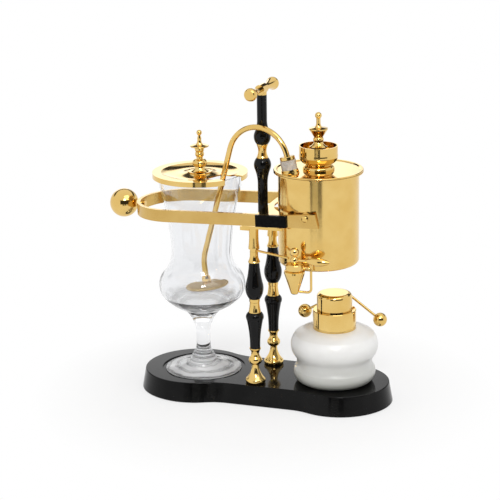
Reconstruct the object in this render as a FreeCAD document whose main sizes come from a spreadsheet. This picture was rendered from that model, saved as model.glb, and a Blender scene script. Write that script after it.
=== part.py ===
import FreeCAD, Part
import math
import os
import types
import Sketcher

# A balancing siphon coffee maker: a glass and a spirit burner stand on one base, a kettle and a
# counterweight hang on a tilting beam between two turned columns, and a bent tube joins kettle and glass.
# Millimetres. +Z is up, +X runs from the glass to the kettle, -Y is the front.
# The origin is on the table, midway between the two columns.

doc = FreeCAD.newDocument("siphon_coffee_maker")
sheet = doc.addObject("Spreadsheet::Sheet", "sizes")
nodes = []


class Size:
    """A number together with the sheet formula that it comes from."""

    def __init__(self, value, formula):
        self.value = float(value)
        self.formula = formula

    def joined(self, other, sign, value):
        return Size(value, f"({self.formula} {sign} {other.formula})")

    def __add__(self, other):
        other = as_size(other)
        return self.joined(other, "+", self.value + other.value)

    def __sub__(self, other):
        other = as_size(other)
        return self.joined(other, "-", self.value - other.value)

    def __mul__(self, other):
        other = as_size(other)
        return self.joined(other, "*", self.value * other.value)

    def __truediv__(self, other):
        other = as_size(other)
        return self.joined(other, "/", self.value / other.value)

    def __rsub__(self, other):
        return as_size(other) - self

    def __neg__(self):
        return Size(-self.value, f"(-{self.formula})")


def as_size(number):
    """Plain numbers join in as they are written."""
    return number if isinstance(number, Size) else Size(number, repr(number))


def root(size):
    """Square root."""
    return Size(math.sqrt(size.value), f"sqrt({size.formula})")


def cosine(angle):
    """Cosine of an angle in degrees."""
    return Size(math.cos(math.radians(angle.value)), f"cos({angle.formula} * 1deg)")


def sine(angle):
    """Sine of an angle in degrees."""
    return Size(math.sin(math.radians(angle.value)), f"sin({angle.formula} * 1deg)")


def arc_tangent(ratio):
    """Angle in degrees whose tangent is the ratio."""
    return Size(math.degrees(math.atan(ratio.value)), f"(atan({ratio.formula}) / 1deg)")


ZERO = as_size(0)
RIGHT_ANGLE = as_size(90)
# Share of a quarter round's radius that its middle lies in from the corner.
ROUND_MIDDLE = 1 - math.sqrt(0.5)
# Faces nearer than this are the same face.
SAME_FACE = 0.01


def sizes(piece):
    """Write the numbers above that start with a piece's name into the sheet, one named cell each."""
    group = types.SimpleNamespace()
    for alias, value in list(globals().items()):
        word = alias.removeprefix(f"{piece}_")
        if word == alias or alias in sizes.written or not isinstance(value, (int, float)):
            continue
        sizes.written.append(alias)
        cell = f"B{len(sizes.written)}"
        sheet.set(f"A{len(sizes.written)}", alias)
        sheet.set(cell, str(value))
        sheet.setAlias(cell, alias)
        setattr(group, word, Size(value, f"sizes.{alias}"))
    sheet.recompute()
    return group


sizes.written = []


def frame(x=ZERO, y=ZERO, z=ZERO, yaw=ZERO, pitch=ZERO, roll=ZERO):
    """A place in space, as a formula: turned about X, then Y, then Z, then moved."""
    x, y, z, yaw, pitch, roll = [as_size(part).formula for part in (x, y, z, yaw, pitch, roll)]
    return f"placement(vector({x}; {y}; {z}); rotation({yaw}; {pitch}; {roll}))"


def keep(label, piece, place=None):
    """Name a finished piece, set it in its place and list it for writing."""
    piece.Label = label
    if place:
        piece.setExpression("Placement", place)
    nodes.append(piece)
    return piece


def new_body(name):
    return doc.addObject("PartDesign::Body", f"{name}_body")


def new_sketch(body, plane, height=ZERO):
    """An empty sketch on one of the body's own planes, raised along the plane's normal."""
    sketch = body.newObject("Sketcher::SketchObject", f"{body.Name}_sketch")
    support = [part for part in body.Origin.OriginFeatures if part.Role == plane][0]
    sketch.AttachmentSupport = [(support, "")]
    sketch.MapMode = "FlatFace"
    sketch.setExpression("AttachmentOffset.Base.z", as_size(height).formula)
    return sketch


def bind(sketch, constraint, size=None):
    """Add a constraint, and tie its value to the sheet."""
    index = sketch.addConstraint(constraint)
    if size is not None:
        sketch.setExpression(f"Constraints[{index}]", size.formula)


def hold(sketch, item, end, x, y):
    """Pin one point of a sketch at x, y."""
    for size, word, axis in ((x, "DistanceX", -2), (y, "DistanceY", -1)):
        if size is ZERO:
            bind(sketch, Sketcher.Constraint("PointOnObject", item, end, axis))
        else:
            bind(sketch, Sketcher.Constraint(word, -1, 1, item, end, size.value), size)


def vector(point):
    return FreeCAD.Vector(point[0].value, point[1].value, 0)


def arc_through(first, middle, last):
    """The arc over three points, and whether it starts at the first of them."""
    a, b, c = vector(first), vector(middle), vector(last)
    circle = Part.Circle(a, b, c)
    forward = (b - a).cross(c - b).z > 0
    start, end = (a, c) if forward else (c, a)
    angles = [math.atan2((p - circle.Center).y, (p - circle.Center).x) for p in (start, end)]
    flat = Part.Circle(circle.Center, FreeCAD.Vector(0, 0, 1), circle.Radius)
    return Part.ArcOfCircle(flat, angles[0],
                            angles[1] + (2 * math.pi if angles[1] < angles[0] else 0)), forward


def draw(sketch, corners, closed=True):
    """Lines and arcs from corner to corner. A corner of four sizes is an arc: a point on it, then its end."""
    corners = [tuple(as_size(number) if number else ZERO for number in corner) for corner in corners]
    ends = [corner[-2:] for corner in corners]
    route = list(zip(ends, corners[1:] + corners[:1]))
    pieces = []
    for first, corner in route if closed else route[:-1]:
        last = corner[-2:]
        if len(corner) == 4:
            arc, forward = arc_through(first, corner[:2], last)
            item = sketch.addGeometry(arc)
            point = sketch.addGeometry(Part.Point(vector(corner[:2])), True)
            hold(sketch, point, 1, *corner[:2])
            bind(sketch, Sketcher.Constraint("PointOnObject", point, 1, item))
            pieces.append((item, 1, 2) if forward else (item, 2, 1))
        else:
            pieces.append((sketch.addGeometry(Part.LineSegment(vector(first), vector(last))), 1, 2))
        hold(sketch, *pieces[-1][:2], *first)
    for (item, _, end), (following, start, _) in zip(pieces,
                                                     pieces[1:] + pieces[:1] if closed else pieces[1:]):
        bind(sketch, Sketcher.Constraint("Coincident", item, end, following, start))
    if not closed:
        hold(sketch, pieces[-1][0], pieces[-1][2], *ends[-1])


def under_ball(radius, neck):
    """How far below a ball's centre a neck of this radius meets it."""
    return root(radius * radius - neck * neck)


def draw_circle(sketch, x, y, radius):
    """A full circle, for a bore or a round bar."""
    x, y = [as_size(number) if number else ZERO for number in (x, y)]
    item = sketch.addGeometry(Part.Circle(vector((x, y)), FreeCAD.Vector(0, 0, 1), radius.value))
    hold(sketch, item, 3, x, y)
    bind(sketch, Sketcher.Constraint("Radius", item, radius.value), radius)


def revolve(body, corners, axis="V_Axis", rise=ZERO):
    """Turn an outline about its upright axis, or about its level one raised by this much."""
    sketch = new_sketch(body, "XZ_Plane")
    sketch.setExpression("AttachmentOffset.Base.y", rise.formula)
    draw(sketch, corners)
    turn = body.newObject("PartDesign::Revolution", f"{body.Name}_turn")
    turn.Profile = sketch
    turn.ReferenceAxis = (sketch, [axis])
    turn.Angle = 360


def pad(body, sketch, length):
    """Raise a sketch into a solid of this thickness."""
    feature = body.newObject("PartDesign::Pad", f"{body.Name}_pad")
    feature.Profile = sketch
    feature.setExpression("Length", as_size(length).formula)
    return feature


def pocket(body, sketch, depth, upwards=False):
    """Cut a sketch down into the solid, or up into it from below."""
    feature = body.newObject("PartDesign::Pocket", f"{body.Name}_pocket")
    feature.Profile = sketch
    feature.Reversed = upwards
    feature.setExpression("Length", as_size(depth).formula)


def round_edges(body, radius, chosen):
    """Round the edges of the body that the test picks."""
    doc.recompute()
    base = body.Tip
    names = [f"Edge{number}" for number, edge in enumerate(base.Shape.Edges, 1) if chosen(edge.BoundBox)]
    feature = body.newObject("PartDesign::Fillet", f"{body.Name}_round")
    feature.Base = (base, names)
    feature.setExpression("Radius", as_size(radius).formula)


def turned(label, corners, place=None):
    """A piece turned on a lathe."""
    body = new_body(label)
    revolve(body, corners)
    return keep(label, body, place)


def rod(name, radius, length, place):
    """A round bar that starts at its place and runs up its Z axis."""
    bar = doc.addObject("Part::Cylinder", name)
    bar.setExpression("Radius", as_size(radius).formula)
    bar.setExpression("Height", as_size(length).formula)
    bar.setExpression("Placement", place)
    return bar


def cut(name, base, tool):
    """One solid less another."""
    less = doc.addObject("Part::Cut", name)
    less.Base = base
    less.Tool = tool
    return less


def group(label, pieces):
    """Like pieces that share a node and stay separate solids."""
    together = doc.addObject("Part::Compound", label)
    together.Links = pieces
    return keep(label, together)


def swept(label, radius, bore, route, plane, place):
    """A round wire or tube along a flat route that leaves its start square to the given plane."""
    body = new_body(label)
    spine = new_sketch(body, "XZ_Plane")
    draw(spine, route, closed=False)
    begin = [as_size(number) for number in route[0]]
    profile = new_sketch(body, plane, begin[1] if plane == "XY_Plane" else begin[0])
    centre = (begin[0], ZERO) if plane == "XY_Plane" else (ZERO, begin[1])
    for edge in (radius, bore) if bore else (radius,):
        draw_circle(profile, *[number if number.value else 0 for number in centre], edge)
    pipe = body.newObject("PartDesign::AdditivePipe", f"{label}_pipe")
    pipe.Profile = profile
    pipe.Spine = spine
    return keep(label, body, place)


# Clearances that the fits share.
fit_thread = 0.05
fit_running = 0.06
fit_rest_gap = 0.1
fit_slide_gap = 0.3
fit = sizes("fit")

# Base: a lacquered board of two round lobes with a waist, wider at its foot, on a thin soft pad.
base_height = 23
base_flare = 4
base_left_lobe_reach = 82.5
base_left_lobe_radius = 60
base_right_lobe_reach = 89.5
base_right_lobe_radius = 56
base_waist_half_width = 47.5
base_waist_round = 60
base_edge_round = 1.2
base = sizes("base")
foot_pad_thickness = 1
foot_pad_inset = 2
foot_pad = sizes("foot_pad")
recess_radius = 48
recess_depth = 1.2
recess = sizes("recess")
glass_axis_reach = 74.5
glass_axis = sizes("glass_axis")
columns_half_span = 33.35
columns = sizes("columns")
tie_rod_radius = 2.5
tie_rod_head_engagement = 20
tie_rod = sizes("tie_rod")
base_nut_radius = 4.6
base_nut_height = 4
base_nut_pocket_radius = 6
base_nut_pocket_depth = 5.5
base_nut = sizes("base_nut")

rod_bore = tie_rod.radius + fit.running
BOTH_SIDES = (("front", -1), ("rear", 1))


def base_outline(sketch, grow):
    """Two lobes and a waist, drawn in tangent arcs and lines and grown outwards all round."""
    waist = base.waist_half_width + grow
    hollow = base.waist_round - grow
    lobes = []
    for reach, radius, side in ((base.left_lobe_reach, base.left_lobe_radius, -1),
                                (base.right_lobe_reach, base.right_lobe_radius, 1)):
        lobes.append((reach * side, radius + grow, side))
    up = FreeCAD.Vector(0, 0, 1)
    drop = waist.value + hollow.value
    arcs = {}
    for centre, radius, side in lobes:
        run = math.sqrt((radius.value + hollow.value) ** 2 - drop ** 2)
        angle = math.atan2(drop, -side * run)
        start, end = (angle, 2 * math.pi - angle) if side < 0 else (-angle, angle)
        lobe = Part.Circle(FreeCAD.Vector(centre.value, 0, 0), up, radius.value)
        arcs["lobe", side] = sketch.addGeometry(Part.ArcOfCircle(lobe, start, end))
        bind(sketch, Sketcher.Constraint("DistanceX", -1, 1, arcs["lobe", side], 3, centre.value), centre)
        bind(sketch, Sketcher.Constraint("PointOnObject", arcs["lobe", side], 3, -1))
        bind(sketch, Sketcher.Constraint("Radius", arcs["lobe", side], radius.value), radius)
        for level in (-1, 1):
            middle = FreeCAD.Vector(centre.value - side * run, level * drop, 0)
            ends = sorted((-level * math.pi / 2, math.atan2(-level * drop, side * run)))
            item = sketch.addGeometry(Part.ArcOfCircle(Part.Circle(middle, up, hollow.value), *ends))
            bind(sketch, Sketcher.Constraint("Radius", item, hollow.value), hollow)
            arcs["hollow", side, level] = item
            arcs["waist", side, level] = FreeCAD.Vector(middle.x, level * waist.value, 0)
    for level in (-1, 1):
        line = Part.LineSegment(arcs["waist", -1, level], arcs["waist", 1, level])
        item = sketch.addGeometry(line)
        for side in (-1, 1):
            hollow_item = arcs["hollow", side, level]
            waist_end = 1 if side * level > 0 else 2
            bind(sketch, Sketcher.Constraint("Tangent", hollow_item, waist_end, item, 1 if side < 0 else 2))
            lobe_end = 1 if side * level < 0 else 2
            bind(sketch, Sketcher.Constraint("Tangent", hollow_item, 3 - waist_end, arcs["lobe", side],
                                             lobe_end))
        bind(sketch, Sketcher.Constraint("Horizontal", item))
        bind(sketch, Sketcher.Constraint("DistanceY", -1, 1, item, 1, level * waist.value), waist * level)


base_board = new_body("base_plate")
foot_outline = new_sketch(base_board, "XY_Plane", foot_pad.thickness)
base_outline(foot_outline, base.flare)
board_height = base.height - foot_pad.thickness
board = pad(base_board, foot_outline, board_height)
board.setExpression("TaperAngle", f"-1deg * {arc_tangent(base.flare / board_height).formula}")
round_edges(base_board, base.edge_round, lambda box: box.ZMin > base.height.value - base.edge_round.value)
glass_recess = new_sketch(base_board, "XY_Plane", base.height)
draw_circle(glass_recess, -glass_axis.reach, 0, recess.radius)
pocket(base_board, glass_recess, recess.depth)
rod_holes = new_sketch(base_board, "XY_Plane", base.height)
nut_pockets = new_sketch(base_board, "XY_Plane", foot_pad.thickness)
for _, away in BOTH_SIDES:
    draw_circle(rod_holes, 0, columns.half_span * away, rod_bore)
    draw_circle(nut_pockets, 0, columns.half_span * away, base_nut.pocket_radius)
pocket(base_board, rod_holes, base.height)
pocket(base_board, nut_pockets, base_nut.pocket_depth, upwards=True)
keep("base_plate", base_board)

pad_body = new_body("base_pad")
pad_outline = new_sketch(pad_body, "XY_Plane")
base_outline(pad_outline, base.flare - foot_pad.inset)
pad(pad_body, pad_outline, foot_pad.thickness)
keep("base_pad", pad_body)

# Columns: turned gold feet and ferrules with black balusters between, stacked on a tie rod.
foot_bell_height = 21.6
foot_bell_foot_radius = 10.2
foot_bell_lip_radius = 11.5
foot_bell_lip_height = 2.6
foot_bell_edge_radius = 10.6
foot_bell_edge_height = 5.2
foot_bell_flare_radius = 6.2
foot_bell_flare_height = 11.6
foot_bell_neck_radius = 4
foot_bell = sizes("foot_bell")
foot_vase_height = 19.4
foot_vase_neck_radius = 4
foot_vase_bulge_radius = 7.6
foot_vase_bulge_height = 4.7
foot_vase_shoulder_radius = 6
foot_vase_shoulder_height = 8.8
foot_vase_waist_radius = 4.6
foot_vase_waist_height = 13.4
foot_vase_lip_radius = 6.5
foot_vase_lip_height = 1.2
foot_vase = sizes("foot_vase")
lower_baluster_height = 42.4
lower_baluster_foot_radius = 5.85
lower_baluster_taper_radius = 6.3
lower_baluster_taper_height = 14
lower_baluster_shoulder_radius = 9.3
lower_baluster_shoulder_height = 33.5
lower_baluster_bulge_radius = 10.05
lower_baluster_bulge_height = 38
lower_baluster_top_radius = 7
lower_baluster = sizes("lower_baluster")
mid_ferrule_height = 15.8
mid_ferrule_foot_radius = 6.9
mid_ferrule_foot_lip = 1
mid_ferrule_flare_radius = 6
mid_ferrule_flare_height = 6
mid_ferrule_neck_radius = 5.5
mid_ferrule_neck_height = 11.6
mid_ferrule_groove_radius = 5
mid_ferrule_groove_height = 1
mid_ferrule_collar_radius = 6
mid_ferrule = sizes("mid_ferrule")
upper_baluster_height = 42.5
upper_baluster_foot_radius = 6.3
upper_baluster_bulge_radius = 10.05
upper_baluster_bulge_height = 9.5
upper_baluster_shoulder_radius = 9.2
upper_baluster_shoulder_height = 19
upper_baluster_taper_radius = 7.3
upper_baluster_taper_height = 28.5
upper_baluster_top_radius = 5.8
upper_baluster = sizes("upper_baluster")
top_ferrule_height = 12.5
top_ferrule_foot_radius = 6.7
top_ferrule_foot_lip = 0.8
top_ferrule_flare_radius = 5.2
top_ferrule_flare_height = 4.6
top_ferrule_neck_radius = 4.7
top_ferrule_neck_height = 8.6
top_ferrule = sizes("top_ferrule")
stay_eye_radius = 4.6
stay_eye_height = 2.8
stay_eye = sizes("stay_eye")
column_head_height = 28.4
column_head_lip_radius = 6.2
column_head_lip_height = 1.6
column_head_waist_radius = 5.3
column_head_top_radius = 5.7
column_head_cap = 5
column_head_stub_length = 15
column_head_stub_width = 6.4
column_head_stub_height = 4.4
column_head = sizes("column_head")

bell_corners = [(rod_bore, 0), (foot_bell.foot_radius, 0),
                (foot_bell.lip_radius, foot_bell.lip_height, foot_bell.edge_radius, foot_bell.edge_height),
                (foot_bell.flare_radius, foot_bell.flare_height, foot_bell.neck_radius, foot_bell.height),
                (rod_bore, foot_bell.height)]
vase_corners = [(rod_bore, 0), (foot_vase.neck_radius, 0),
                (foot_vase.bulge_radius, foot_vase.bulge_height, foot_vase.shoulder_radius,
                 foot_vase.shoulder_height),
                (foot_vase.waist_radius, foot_vase.waist_height, foot_vase.lip_radius,
                 foot_vase.height - foot_vase.lip_height),
                (foot_vase.lip_radius, foot_vase.height), (rod_bore, foot_vase.height)]
lower_corners = [(rod_bore, 0), (lower_baluster.foot_radius, 0),
                 (lower_baluster.taper_radius, lower_baluster.taper_height,
                  lower_baluster.shoulder_radius, lower_baluster.shoulder_height),
                 (lower_baluster.bulge_radius, lower_baluster.bulge_height,
                  lower_baluster.top_radius, lower_baluster.height),
                 (rod_bore, lower_baluster.height)]
groove_top = mid_ferrule.neck_height + mid_ferrule.groove_height
mid_corners = [(rod_bore, 0), (mid_ferrule.foot_radius, 0), (mid_ferrule.foot_radius, mid_ferrule.foot_lip),
               (mid_ferrule.flare_radius, mid_ferrule.flare_height, mid_ferrule.neck_radius,
                mid_ferrule.neck_height),
               (mid_ferrule.groove_radius, mid_ferrule.neck_height), (mid_ferrule.groove_radius, groove_top),
               (mid_ferrule.collar_radius, groove_top), (mid_ferrule.collar_radius, mid_ferrule.height),
               (rod_bore, mid_ferrule.height)]
upper_corners = [(rod_bore, 0), (upper_baluster.foot_radius, 0),
                 (upper_baluster.bulge_radius, upper_baluster.bulge_height,
                  upper_baluster.shoulder_radius, upper_baluster.shoulder_height),
                 (upper_baluster.taper_radius, upper_baluster.taper_height,
                  upper_baluster.top_radius, upper_baluster.height),
                 (rod_bore, upper_baluster.height)]
top_corners = [(rod_bore, 0), (top_ferrule.foot_radius, 0), (top_ferrule.foot_radius, top_ferrule.foot_lip),
               (top_ferrule.flare_radius, top_ferrule.flare_height, top_ferrule.neck_radius,
                top_ferrule.neck_height),
               (top_ferrule.neck_radius, top_ferrule.height), (rod_bore, top_ferrule.height)]
STACK = (("foot_bell", foot_bell.height, bell_corners), ("foot_vase", foot_vase.height, vase_corners),
         ("lower_baluster", lower_baluster.height, lower_corners),
         ("mid_ferrule", mid_ferrule.height, mid_corners),
         ("upper_baluster", upper_baluster.height, upper_corners),
         ("top_ferrule", top_ferrule.height, top_corners))

rods = []
nuts = []
for side, away in BOTH_SIDES:
    column_y = columns.half_span * away
    level = base.height
    for name, height, corners in STACK:
        turned(f"{side}_{name}", corners, frame(ZERO, column_y, level))
        level = level + height
    eye_level = level
    bridge_level = level + column_head.height
    # The front head leaves room under its sleeve for the eye of the stay rod.
    sleeve = column_head.height - (stay_eye.height + fit.rest_gap * 2 if side == "front" else ZERO)
    head = new_body(f"{side}_column_head")
    revolve(head, [(rod_bore, 0), (column_head.lip_radius, 0),
                   (column_head.lip_radius, column_head.lip_height),
                   (column_head.waist_radius, sleeve / 2, column_head.top_radius, sleeve),
                   (0, sleeve), (0, sleeve - column_head.cap), (rod_bore, sleeve - column_head.cap)])
    stub = new_sketch(head, "XY_Plane", sleeve - column_head.stub_height)
    half_width = column_head.stub_width / 2
    draw(stub, [(-column_head.stub_length, -half_width), (0, -half_width), (0, half_width),
                (-column_head.stub_length, half_width)])
    pad(head, stub, column_head.stub_height)
    keep(f"{side}_column_head", head, frame(ZERO, column_y, bridge_level - sleeve))
    rod_foot = foot_pad.thickness + base_nut.pocket_depth - base_nut.height - fit.rest_gap
    rods.append(rod(f"{side}_tie_rod", tie_rod.radius,
                    bridge_level - column_head.cap - fit.rest_gap - rod_foot,
                    frame(ZERO, column_y, rod_foot)))
    blank = doc.addObject("Part::Prism", f"{side}_nut_blank")
    blank.Polygon = 6
    blank.setExpression("Circumradius", base_nut.radius.formula)
    blank.setExpression("Height", base_nut.height.formula)
    nut_place = frame(ZERO, column_y, foot_pad.thickness + base_nut.pocket_depth - base_nut.height)
    blank.setExpression("Placement", nut_place)
    bore = rod(f"{side}_nut_bore", tie_rod.radius + fit.thread, base_nut.height, nut_place)
    nuts.append(cut(f"{side}_base_nut", blank, bore))
group("tie_rods", rods)
group("base_nuts", nuts)

# Stay rod: a thin wire with an eye on the front column, swung in to steady the kettle by its tap.
stay_length = 51
stay_radius = 1.3
stay_tip_radius = 2
stay_heading = -23.6
stay = sizes("stay")
stay_body = new_body("stay_rod")
revolve(stay_body, [(rod_bore, 0), (stay_eye.radius, 0), (stay_eye.radius, stay_eye.height),
                    (rod_bore, stay_eye.height)])
wire_start = stay_eye.radius - stay.radius
wire = new_sketch(stay_body, "YZ_Plane", wire_start)
draw_circle(wire, 0, stay_eye.height / 2, stay.radius)
pad(stay_body, wire, stay.length - wire_start)
keep("stay_rod", stay_body, frame(ZERO, -columns.half_span, eye_level + fit.rest_gap, yaw=stay.heading))

# Bridge: a flat plate over both column heads, with two upturned ears that hold the beam's pivot pins.
bridge_thickness = 3
bridge_left_reach = 10
bridge_right_reach = 36
bridge_half_width = 44
bridge_kettle_clearance = 5
bridge_ear_half_width = 5
bridge_ear_thickness = 3
bridge = sizes("bridge")
pivot_reach = 26
pivot_rise = 7.9
pivot_pin_radius = 2.2
pivot_collar_radius = 4
pivot_end_depth = 2.6
pivot = sizes("pivot")
beam_tilt = 1.75
beam_half_width = 52
beam_thickness = 4
beam_height = 13.6
beam_rise = 2.2
beam = sizes("beam")
trunnion_reach = 39.2
trunnion_rise = 6
trunnion_radius = 2
trunnion = sizes("trunnion")
kettle_radius = 45
kettle_wall = 1.2
kettle_height = 104.6
kettle_hang = 62.1
kettle_edge_round = 4
kettle_flange_radius = 49.8
kettle = sizes("kettle")
pole_bolt_radius = 2.5
pole_bolt_head_radius = 5
pole_bolt_head_height = 3
pole_bolt = sizes("pole_bolt")

bridge_top = bridge_level + bridge.thickness
pivot_level = bridge_top + pivot.rise
kettle_x = pivot.reach + trunnion.reach * cosine(beam.tilt) - trunnion.rise * sine(beam.tilt)
trunnion_level = pivot_level + trunnion.reach * sine(beam.tilt) + trunnion.rise * cosine(beam.tilt)
kettle_level = trunnion_level - kettle.hang
beam_inside = beam.half_width - beam.thickness

bridge_body = new_body("bridge_plate")
bridge_plan = new_sketch(bridge_body, "XY_Plane")
clear_radius = kettle.radius + bridge.kettle_clearance
inlet_depth = kettle_x - bridge.right_reach
inlet_y = root(clear_radius * clear_radius - inlet_depth * inlet_depth)
draw(bridge_plan, [(-bridge.left_reach, -bridge.half_width), (bridge.right_reach, -bridge.half_width),
                   (bridge.right_reach, -inlet_y), (kettle_x - clear_radius, 0, bridge.right_reach, inlet_y),
                   (bridge.right_reach, bridge.half_width), (-bridge.left_reach, bridge.half_width)])
draw_circle(bridge_plan, 0, 0, pole_bolt.radius + fit.running)
pad(bridge_body, bridge_plan, bridge.thickness)
ear_axis = bridge.thickness + pivot.rise
for side, away in BOTH_SIDES:
    ear_face = bridge.half_width - bridge.ear_thickness if away < 0 else -bridge.half_width
    ear = new_sketch(bridge_body, "XZ_Plane", ear_face)
    left, right = pivot.reach - bridge.ear_half_width, pivot.reach + bridge.ear_half_width
    draw(ear, [(left, bridge.thickness), (right, bridge.thickness), (right, ear_axis),
               (pivot.reach, ear_axis + bridge.ear_half_width, left, ear_axis)])
    draw_circle(ear, pivot.reach, ear_axis, pivot.pin_radius + fit.thread)
    pad(bridge_body, ear, bridge.ear_thickness)
keep("bridge_plate", bridge_body, frame(z=bridge_level))

pins = []
collar_start = bridge.ear_thickness + fit.thread
collar_end = collar_start + beam_inside - bridge.half_width - fit.slide_gap
pin_length = bridge.ear_thickness + beam.half_width - bridge.half_width + pivot.end_depth
for side, away in BOTH_SIDES:
    pin = new_body(f"{side}_pivot_pin")
    revolve(pin, [(0, 0), (pivot.pin_radius, 0), (pivot.pin_radius, collar_start),
                  (pivot.collar_radius, collar_start),
                  (pivot.collar_radius, collar_end), (pivot.pin_radius, collar_end),
                  (pivot.pin_radius, pin_length), (0, pin_length)])
    pin_start = (bridge.half_width - bridge.ear_thickness) * away
    pin.setExpression("Placement", frame(pivot.reach, pin_start, pivot_level, roll=RIGHT_ANGLE * -away))
    pins.append(pin)
group("pivot_pins", pins)

# Carrying pole: two black turned lengths with a gold ferrule between them and a cross handle on top.
pole_lower_height = 67.6
pole_lower_shaft_radius = 5.6
pole_lower_shaft_height = 38
pole_lower_flare_radius = 6.7
pole_lower_flare_height = 48
pole_lower_shoulder_radius = 9
pole_lower_shoulder_height = 55.5
pole_lower_bulge_radius = 9.7
pole_lower_bulge_height = 60
pole_lower_top_radius = 6.7
pole_lower = sizes("pole_lower")
pole_ferrule_height = 15.9
pole_ferrule_end_radius = 6.5
pole_ferrule_end_lip = 1
pole_ferrule_waist_radius = 4.75
pole_ferrule = sizes("pole_ferrule")
pole_upper_height = 55.4
pole_upper_foot_radius = 6.6
pole_upper_bulge_radius = 9.5
pole_upper_bulge_height = 7.5
pole_upper_shoulder_radius = 8.2
pole_upper_shoulder_height = 13.8
pole_upper_flare_radius = 6.2
pole_upper_flare_height = 20.5
pole_upper_shaft_radius = 5.6
pole_upper_shaft_height = 29
pole_upper = sizes("pole_upper")
handle_half_length = 39
handle_end_radius = 5.2
handle_bell_radius = 7.2
handle_bell_setback = 3
handle_rim_radius = 6.4
handle_rim_setback = 7.5
handle_taper_radius = 4
handle_taper_reach = 20
handle_neck_radius = 3.2
handle_hub_radius = 5.6
handle_hub_half_length = 7
handle_axis_height = 6.2
handle_turn = -2
handle_bolt_depth = 5
handle = sizes("handle")
pole_bore = pole_bolt.radius + fit.running
turned("pole_lower", [(pole_bore, 0), (pole_lower.shaft_radius, 0),
                      (pole_lower.shaft_radius, pole_lower.shaft_height),
                      (pole_lower.flare_radius, pole_lower.flare_height,
                       pole_lower.shoulder_radius, pole_lower.shoulder_height),
                      (pole_lower.bulge_radius, pole_lower.bulge_height, pole_lower.top_radius,
                       pole_lower.height),
                      (pole_bore, pole_lower.height)], frame(z=bridge_top))
ferrule_level = bridge_top + pole_lower.height
turned("pole_ferrule", [(pole_bore, 0), (pole_ferrule.end_radius, 0),
                        (pole_ferrule.end_radius, pole_ferrule.end_lip),
                        (pole_ferrule.waist_radius, pole_ferrule.height / 2,
                         pole_ferrule.end_radius, pole_ferrule.height - pole_ferrule.end_lip),
                        (pole_ferrule.end_radius, pole_ferrule.height), (pole_bore, pole_ferrule.height)],
       frame(z=ferrule_level))
upper_level = ferrule_level + pole_ferrule.height
turned("pole_upper", [(pole_bore, 0), (pole_upper.foot_radius, 0),
                      (pole_upper.bulge_radius, pole_upper.bulge_height,
                       pole_upper.shoulder_radius, pole_upper.shoulder_height),
                      (pole_upper.flare_radius, pole_upper.flare_height,
                       pole_upper.shaft_radius, pole_upper.shaft_height),
                      (pole_upper.shaft_radius, pole_upper.height), (pole_bore, pole_upper.height)],
       frame(z=upper_level))
pole_top = upper_level + pole_upper.height
bolt_length = pole_top + handle.bolt_depth - bridge_level
turned("pole_bolt", [(0, -pole_bolt.head_height), (pole_bolt.head_radius, -pole_bolt.head_height),
                     (pole_bolt.head_radius, -fit.thread), (pole_bolt.radius, -fit.thread),
                     (pole_bolt.radius, bolt_length), (0, bolt_length)], frame(z=bridge_level))


def handle_half(sign):
    """Corners of one trumpet arm, from its tip to the hub."""
    tip = handle.half_length * sign
    return [(0, tip), (handle.end_radius, tip),
            (handle.bell_radius, tip - handle.bell_setback * sign, handle.rim_radius,
             tip - handle.rim_setback * sign),
            (handle.taper_radius, handle.taper_reach * sign, handle.neck_radius,
             handle.hub_half_length * sign),
            (handle.hub_radius, handle.hub_half_length * sign)]


def reversed_route(corners):
    """The same lines and arcs, walked from the last corner to the first."""
    back = []
    for corner, following in zip(reversed(corners), [None] + list(reversed(corners))):
        through = following[:2] if following and len(following) == 4 else ()
        back.append(tuple(through) + tuple(corner[-2:]))
    return back


cross_handle = new_body("carry_handle")
revolve(cross_handle, handle_half(-1) + reversed_route(handle_half(1)))
socket = new_sketch(cross_handle, "XZ_Plane", -handle.axis_height)
draw_circle(socket, 0, 0, pole_upper.shaft_radius)
pad(cross_handle, socket, handle.axis_height)
cross_handle.setExpression("Placement", frame(z=pole_top + handle.axis_height, yaw=handle.turn,
                                              roll=-RIGHT_ANGLE))
handle_bore = rod("handle_bore", pole_bore, handle.bolt_depth + fit.rest_gap, frame(z=pole_top))
keep("carry_handle", cut("carry_handle", cross_handle, handle_bore))

# Glass: a stemmed vessel with a round bowl, a waist and a flared mouth, standing in the base's recess.
glass_wall = 1.9
glass_height = 232.3
glass_mouth_radius = 47.9
glass_lip_radius = 46.5
glass_lip_height = 219
glass_neck_radius = 43.2
glass_neck_height = 204
glass_flare_radius = 36.5
glass_flare_height = 169
glass_waist_radius = 34.3
glass_waist_height = 143.5
glass_shoulder_radius = 36.6
glass_shoulder_height = 128
glass_upper_radius = 43.2
glass_upper_height = 117
glass_bowl_radius = 49.2
glass_bowl_height = 104
glass_lower_radius = 45.6
glass_lower_height = 89.2
glass_under_radius = 36.4
glass_under_height = 80.4
glass_stem_top_radius = 22
glass_stem_top_height = 72
glass_stem_flare_radius = 12.4
glass_stem_flare_height = 60
glass_stem_radius = 8.1
glass_stem_height = 42
glass_knop_top = 31
glass_knop_radius = 8.6
glass_knop_height = 25
glass_knop_foot_radius = 9.8
glass_knop_foot = 20.6
glass_bead_bulge = 1.1
glass_bead_radius = 11.2
glass_bead_foot = 17.1
glass_ring_radius = 12.9
glass_ring_foot = 13.6
glass_foot_top_radius = 15
glass_foot_top = 10
glass_foot_slope_radius = 24
glass_foot_slope_height = 6
glass_foot_radius = 44
glass_foot_edge = 1.4
glass_hollow_radius = 38
glass_hollow_mid_radius = 25
glass_hollow_mid = 0.5
glass_hollow_flat = 10
glass_hollow_depth = 0.8
glass_bowl_floor = 68
glass_floor_flat = 6
glass_floor_radius = 27
glass_floor_height = 77.6
glass = sizes("glass")
inner = glass.wall
bulge = glass.bead_bulge
glass_level = base.height - recess.depth
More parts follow.
